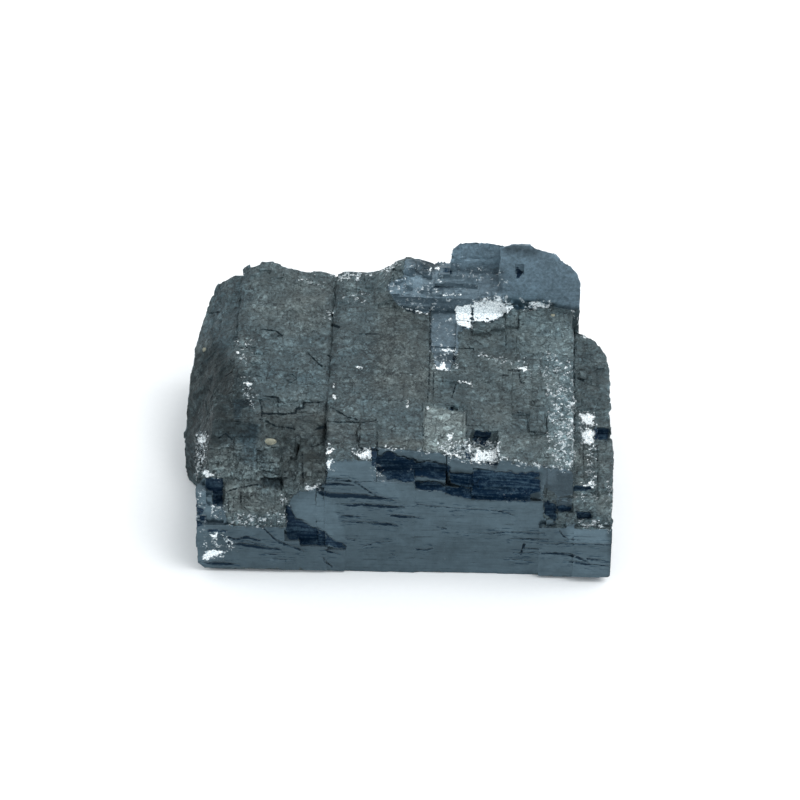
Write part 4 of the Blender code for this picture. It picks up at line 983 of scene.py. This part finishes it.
# Painted light and shade from the marks, which make the coat and the metal lighter or darker.
light = maths(tree, "MULTIPLY_ADD", mark(tree, "light"), 0.9, 1.0)
speckle = toned(
    tree, maths(tree, "MULTIPLY_ADD", grain[0], 0.34, 0.83),
    (fine, 0.30, 0.70, 0.80, 1.20), (middle, 0.30, 0.70, 0.76, 1.24), (uprights, 0.3, 0.7, 0.94, 1.06),
    (clouds, 0.36, 0.64, 0.80, 1.22), (scabs, 0.49, 0.51, 0.80, 1.12), (scabs, 0.575, 0.59, 1.0, 1.20),
    (chips, 0.40, 0.42, 0.55, 1.0), (chips, 0.595, 0.615, 1.0, 1.42))
speckle = maths(tree, "MULTIPLY", speckle, maths(tree, "MULTIPLY_ADD", big_luck, 0.24, 0.88))
small_tone = maths(tree, "MULTIPLY", maths(tree, "SUBTRACT", small_luck, 0.5), blocky)
speckle = maths(tree, "MULTIPLY", speckle, maths(tree, "MULTIPLY_ADD", small_tone, 0.26, 1.0))
coat = shaded(tree, coat, maths(tree, "MULTIPLY", speckle, light))
curl_gap = maths(tree, "ABSOLUTE", maths(tree, "SUBTRACT", curls, 0.5))
curl_part = toned(tree, 1.0, (curl_gap, 0.018, 0.044, 1.0, 0.0), (middle, 0.50, 0.57))
check_part = toned(tree, 1.0, (grain_edges(tree, bent, 0.5), 0.03, 0.075, 1.0, 0.0), (scabs, 0.51, 0.55))
joints = toned(tree, 1.0, (big_inside, 0.05, 0.12, 1.0, 0.0), (big_luck, 0.55, 0.60))
small_joints = toned(tree, blocky, (small_inside, 0.04, 0.10, 1.0, 0.0), (small_luck, 0.72, 0.76))
joints = toned(tree, maths(tree, "MAXIMUM", joints, small_joints), (fine, 0.60, 0.50))
pit_part = toned(tree, 1.0, (fine, 0.64, 0.67), (middle, 0.42, 0.52))
fleck_part = toned(tree, 1.0, (fine, 0.35, 0.32), (grain[2], 0.45, 0.6))
for part, strength, colour in ((curl_part, 0.80, COAT_LINE), (check_part, 0.40, COAT_LINE),
                               (joints, 0.62, COAT_LINE), (pit_part, 0.85, COAT_PIT),
                               (fleck_part, 0.75, COAT_FLECK)):
    coat = painted(tree, coat, part, strength, colour)

# Bare metal, streaked where it is bright and mottled where it is satin.
bare_part = between(tree, uneven(tree, mark(tree, "bare"), (fine, 3.0), (middle, 5.0)), -0.5, 0.5)
satin = mark(tree, "satin")
metal = blend(tree, satin, METAL_BRIGHT, METAL_SATIN)
streak = toned(
    tree, maths(tree, "MULTIPLY_ADD", grain[0], 0.07, 0.965),
    (levels, 0.25, 0.75, 0.91, 1.09), (middle, 0.2, 0.8, 0.90, 1.10), (clouds, 0.35, 0.65, 0.91, 1.09),
    (drawn, 0.485, 0.515, 0.97, 1.025), (drawn, 0.57, 0.59, 1.0, 1.04))
thin_lines = toned(tree, 1.0, (levels, 0.40, 0.36), (clouds, 0.47, 0.56))
streak = maths(tree, "MULTIPLY", streak, maths(tree, "MULTIPLY_ADD", thin_lines, -0.42, 1.0))
rubbed = toned(tree, 1.0, (fine, 0.3, 0.7, 0.80, 1.22), (middle, 0.3, 0.7, 0.84, 1.16),
               (scabs, 0.49, 0.51, 0.92, 1.07))
# The bare metal takes the same painted light and shade.
metal = shaded(tree, metal, maths(tree, "MULTIPLY", weigh(tree, satin, streak, rubbed), light))
surface = blend(tree, bare_part, coat, metal)

# Near-black steps, splits with short lines beside them, and cracks, all painted dark as the
# shade that falls in them.
step_part = between(tree, uneven(tree, mark(tree, "step"), (levels, 2.6), (fine, 2.6)), -0.6, 0.6)
step_tone = maths(tree, "MULTIPLY_ADD", fine, 0.5, maths(tree, "MULTIPLY", levels, 0.5))
step_tone = uneven(tree, step_tone, (small_luck, 0.05))
step_shade_colour = blend(tree, between(tree, step_tone, 0.46, 0.62), STEP_SHADE_BLACK, STEP_SHADE_BLUE)
split = mark(tree, "split")
side_shade_lines = toned(tree, bare_part, (split, -7.0, -3.0), (jags, 0.425, 0.395))
split_part = between(tree, uneven(tree, split, (fine, 2.0), (levels, 3.0), (jags, 3.6)), -0.45, 0.30)
dark_part = maths(tree, "MAXIMUM", step_part, split_part)
crack_part = between(tree, uneven(tree, mark(tree, "crack"), (fine, 2.0), (middle, 3.4)), -0.30, 0.55)
for part, strength, colour in ((step_part, 0.95, step_shade_colour), (side_shade_lines, 0.62, SPLIT_SIDE_SHADE),
                               (split_part, 0.92, SPLIT_SHADE_BLACK), (crack_part, 0.88, CRACK_SHADE_BLACK)):
    surface = painted(tree, surface, part, strength, colour)

# White flashes, and sparkling grains by chance. Both are painted highlights: a near-white,
# hardly metallic colour where the lamp's glint would be.
flash_part = between(tree, uneven(tree, mark(tree, "flash"), (fine, 5.0), (grain[0], 1.6)), 0.0, 0.75)
sparkle = toned(tree, mark(tree, "sparkle"), (middle, 0.35, 0.65, 0.25, 1.5))
glints = maths(tree, "MULTIPLY_ADD", glints, 0.82, maths(tree, "MULTIPLY", grain[1], 0.18))
cut_off = maths(tree, "MULTIPLY_ADD", maths(tree, "POWER", sparkle, 0.5), -0.36, 0.74)
glint_part = between(tree, maths(tree, "SUBTRACT", glints, cut_off), -0.04, 0.09)
not_dark = maths(tree, "SUBTRACT", 1.0, maths(tree, "MULTIPLY", step_part, 0.75))
painted_highlight = maths(tree, "MAXIMUM", flash_part, maths(tree, "MULTIPLY", glint_part, not_dark))
highlight_colour = blend(tree, flake[1], GLINT_DIM, GLINT_BRIGHT)
highlight_colour = blend(tree, flash_part, highlight_colour, FLASH_HIGHLIGHT_WHITE)
glint_edge = between(tree, grain_edges(tree, mm, 1.9), 0.01, 0.08)
highlight_colour = blend(tree, glint_edge, GLINT_EDGE, highlight_colour)
tree.links.new(blend(tree, painted_highlight, surface, highlight_colour), shader.inputs["Base Color"])

# How metallic, shiny and rough each part is, and its smallest relief, a tenth of a millimetre or so.
metallic = weigh(tree, bare_part, 0.30, weigh(tree, satin, 1.0, 0.30))
metallic = weigh(tree, painted_highlight, weigh(tree, dark_part, metallic, 0.15), 0.10)
tree.links.new(metallic, shader.inputs["Metallic"])
shine = between(tree, maths(tree, "MAXIMUM", dark_part, crack_part), 0.2, 0.8, 0.45, 0.05)
shine = toned(tree, shine, (mark(tree, "light"), -0.6, -0.1, 0.35, 1.0))
tree.links.new(shine, shader.inputs["Specular IOR Level"])
coat_rough = between(tree, fine, 0.2, 0.8, 0.55, 0.78)
metal_rough = uneven(tree, weigh(tree, satin, 0.30, 0.55), (levels, 0.15))
roughness = weigh(tree, painted_highlight, weigh(tree, bare_part, coat_rough, metal_rough), 0.36)
tree.links.new(roughness, shader.inputs["Roughness"])
relief = raised(
    tree, maths(tree, "MULTIPLY", fine, 0.10),
    (middle, 0.19), (maths(tree, "MULTIPLY", small_luck, blocky), 0.05), (joints, -0.07), (grain[2], 0.022),
    (between(tree, scabs, 0.485, 0.515), 0.07), (between(tree, chips, 0.39, 0.42), 0.06), (curl_part, -0.06))
relief = maths(tree, "MULTIPLY", relief, weigh(tree, bare_part, 1.0, maths(tree, "MULTIPLY", satin, 0.35)))
relief = raised(tree, relief, (maths(tree, "MULTIPLY", levels, bare_part), 0.006),
                (maths(tree, "MULTIPLY", flake[2], painted_highlight), 0.04))
bump = put(tree, "ShaderNodeBump", {"Strength": 0.9, "Distance": 0.001, "Height": relief})
tree.links.new(bump.outputs[0], shader.inputs["Normal"])

lump_mesh.materials.clear()
lump_mesh.materials.append(stone)
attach(lump, "root")
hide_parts("galena")

# Loose-looking crystals. Where the coat sparkles, small square-cleaved splinters stand out of
# it by a few tenths of a millimetre, all turned nearly the same way as the lump's own cleavage.
SPLINTERS = {"Per square metre": 1.3e6, "Smallest": 0.00012, "Largest": 0.0004, "Seed": 7}
SPLINTER_TURN, TURN_SEED = 0.12, 3
SPLINTER_DARK, SPLINTER_LIGHT = (0.10, 0.135, 0.15, 1), (0.82, 0.89, 0.92, 1)
bright, tree, shader = material("galena_splinter")
mm = millimetres(tree)
soil = noise(tree, mm, 2.2, 4.0, 0.7)
colour = between(tree, grains_of(tree, mm, 1.3)[0], 0.25, 0.75)
colour = blend(tree, colour, SPLINTER_DARK, SPLINTER_LIGHT)
colour = shaded(tree, colour, between(tree, soil, 0.3, 0.7, 0.7, 1.1))
tree.links.new(colour, shader.inputs["Base Color"])
tree.links.new(between(tree, soil, 0.3, 0.7, 0.25, 0.5), shader.inputs["Roughness"])
shader.inputs["Metallic"].default_value = 0.85

strew = bpy.data.node_groups.new("strew_splinters", "GeometryNodeTree")
strew.interface.new_socket("Surface", in_out="INPUT", socket_type="NodeSocketGeometry")
sockets = {}
for name, value in SPLINTERS.items():
    kind = "NodeSocketInt" if name == "Seed" else "NodeSocketFloat"
    socket = strew.interface.new_socket(name, in_out="INPUT", socket_type=kind)
    socket.default_value = value
    sockets[name] = socket.identifier
strew.interface.new_socket("Splinters", in_out="OUTPUT", socket_type="NodeSocketGeometry")
given = strew.nodes.new("NodeGroupInput").outputs
made = strew.nodes.new("NodeGroupOutput")
density = put(strew, "GeometryNodeInputNamedAttribute", {"Name": "sparkle"}, data_type="FLOAT").outputs[0]
density = put(strew, "ShaderNodeMapRange", {0: density, 1: 0.12, 2: 0.5, 3: 0.0, 4: 1.0}).outputs[0]
density = maths(strew, "MULTIPLY", density, given["Per square metre"])
spots = put(strew, "GeometryNodeDistributePointsOnFaces",
            {"Mesh": given["Surface"], "Density": density, "Seed": given["Seed"]},
            distribute_method="RANDOM").outputs["Points"]
smallest, largest = [
    put(strew, "ShaderNodeCombineXYZ", {0: given[side], 1: given[side], 2: given["Smallest"]}).outputs[0]
    for side in ("Smallest", "Largest")]
size = put(strew, "FunctionNodeRandomValue", {0: smallest, 1: largest, "Seed": given["Seed"]},
           data_type="FLOAT_VECTOR").outputs[0]
turn = put(strew, "FunctionNodeRandomValue", {0: (-SPLINTER_TURN,) * 3, 1: (SPLINTER_TURN,) * 3,
                                              "Seed": TURN_SEED}, data_type="FLOAT_VECTOR").outputs[0]
block = put(strew, "GeometryNodeMeshCube", {"Size": (1.0, 1.0, 1.0)}).outputs[0]
copies = put(strew, "GeometryNodeInstanceOnPoints",
             {"Points": spots, "Instance": block, "Rotation": turn, "Scale": size}).outputs[0]
whole = put(strew, "GeometryNodeRealizeInstances", {"Geometry": copies}).outputs[0]
dressed = put(strew, "GeometryNodeSetMaterial", {"Geometry": whole, "Material": bright}).outputs[0]
strew.links.new(dressed, made.inputs[0])

splinters = bpy.data.objects.new("galena_splinters", lump_mesh.copy())
bpy.context.scene.collection.objects.link(splinters)
strewing = splinters.modifiers.new("strewing", "NODES")
strewing.node_group = strew
for name, value in SPLINTERS.items():
    strewing[sockets[name]] = value
settle(splinters)
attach(splinters, "root")

# Grains of another mineral, cream and grey-brown, grown into the lump. Each is a rounded pebble
# half sunk in it, with a chalky, pitted skin. It is given by its place in the photograph, in
# pixels, and its half sizes in millimetres.
GRAINS = [((270.5, 442.5), (1.15, 0.80, 0.90)), ((204.5, 350.0), (0.42, 0.34, 0.42)),
          ((553.0, 315.5), (0.42, 0.34, 0.30))]
CHALK_DARK, CHALK_LIGHT = (0.15, 0.155, 0.12, 1), (0.27, 0.27, 0.205, 1)
SUNK = 0.35
chalk, tree, shader = material("cream_mineral")
mm = millimetres(tree)
cloud = noise(tree, mm, 0.9, 5.0, 0.7)
grit = noise(tree, mm, 4.5, 3.0, 0.7)
colour = blend(tree, between(tree, cloud, 0.35, 0.65), CHALK_DARK, CHALK_LIGHT)
colour = shaded(tree, colour, between(tree, grit, 0.25, 0.75, 0.7, 1.2))
tree.links.new(colour, shader.inputs["Base Color"])
tree.links.new(between(tree, grit, 0.3, 0.7, 0.55, 0.8), shader.inputs["Roughness"])
pits = put(tree, "ShaderNodeBump", {"Strength": 0.8, "Distance": 0.0002, "Height": grit})
tree.links.new(pits.outputs[0], shader.inputs["Normal"])

# The rays that find the grains' places need the lump as it now is.
bpy.context.evaluated_depsgraph_get()
pebbles = bmesh.new()
for (u, v), radii in GRAINS:
    line = -view_back * FOCAL_PIXELS + view_right * (u - PICTURE / 2) - view_up * (v - PICTURE / 2)
    line = Vector(line).normalized()
    spot, facing_out = lump.ray_cast(Vector(view_point / 1000), line)[1:3]
    before = len(pebbles.verts)
    bmesh.ops.create_icosphere(pebbles, subdivisions=4, radius=1.0)
    pebbles.verts.ensure_lookup_table()
    ball = np.array([list(p.co) for p in pebbles.verts[before:]])
    moved = ball + [u, v, 0]
    stretch = 1 + 0.55 * (swells(moved, 0.8, 91) - 0.5) + 0.12 * (swells(moved, 0.3, 92) - 0.5)
    for point, way, longer in zip(pebbles.verts[before:], ball, stretch):
        offset = Vector(way * np.array(radii) * longer / 1000)
        point.co = spot + offset - facing_out * radii[1] * SUNK / 1000
grain_mesh = bpy.data.meshes.new("cream_grains")
pebbles.to_mesh(grain_mesh)
pebbles.free()
grain_mesh.polygons.foreach_set("use_smooth", [True] * len(grain_mesh.polygons))
grain_mesh.materials.append(chalk)
grains = bpy.data.objects.new("cream_grains", grain_mesh)
bpy.context.scene.collection.objects.link(grains)
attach(grains, "root")

# The table top that the lump lies on. It is covered with plain, pale, matt paper, level and
# wide enough to reach past the picture's edges.
PAPER_DARK, PAPER_LIGHT = (0.77, 0.775, 0.78, 1), (0.80, 0.805, 0.81, 1)
REACH = 3.0
tabletop = bpy.data.meshes.new("floor")
tabletop.from_pydata([(-REACH, -REACH, 0), (REACH, -REACH, 0), (REACH, REACH, 0), (-REACH, REACH, 0)],
                     [], [(0, 1, 2, 3)])
floor = bpy.data.objects.new("floor", tabletop)
bpy.context.scene.collection.objects.link(floor)
paper, tree, shader = material("pale_paper")
fibre = noise(tree, millimetres(tree), 0.9, 3.0, 0.5)
tree.links.new(blend(tree, fibre, PAPER_DARK, PAPER_LIGHT), shader.inputs["Base Color"])
shader.inputs["Roughness"].default_value = 0.85
tabletop.materials.append(paper)

# The light. A soft sky that is a little dimmer on the camera's side, and one wide soft lamp
# high above it, a little to its right.
LAMP_RADIANCE = 5.2
LAMP_WAY = (0.42, -0.10, 0.90)
LAMP_SIZE = (0.5, 0.5)
LAMP_DISTANCE = 0.8
LUMP_MIDDLE = Vector((0, 0, 0.02))
SKY_FRONT, SKY_BACK = (0.80, 0.86, 0.90, 1), (0.97, 0.99, 1.0, 1)
SKY_STRENGTH = 1.25
sky = bpy.data.worlds.new("studio")
bpy.context.scene.world = sky
sky.use_nodes = True
tree = sky.node_tree
direction = put(tree, "ShaderNodeTexCoord", {}).outputs["Generated"]
behind = put(tree, "ShaderNodeSeparateXYZ", {0: direction}).outputs["Y"]
toward = put(tree, "ShaderNodeMapRange", {0: behind, 1: -0.5, 2: 0.6}).outputs[0]
glow = blend(tree, toward, SKY_FRONT, SKY_BACK)
tree.links.new(glow, tree.nodes["Background"].inputs[0])
tree.nodes["Background"].inputs[1].default_value = SKY_STRENGTH
lamp = bpy.data.lights.new("soft_lamp", "AREA")
lamp.shape = "RECTANGLE"
lamp.size, lamp.size_y = LAMP_SIZE
lamp.energy = LAMP_RADIANCE * math.pi * lamp.size * lamp.size_y
lamp_object = bpy.data.objects.new("soft_lamp", lamp)
lamp_way = Vector(LAMP_WAY).normalized()
lamp_object.matrix_world = lamp_way.to_track_quat("Z", "Y").to_matrix().to_4x4()
lamp_object.location = lamp_way * LAMP_DISTANCE + LUMP_MIDDLE
lamp_object.visible_camera = False
bpy.context.scene.collection.objects.link(lamp_object)
bpy.context.scene.view_settings.view_transform = "Standard"
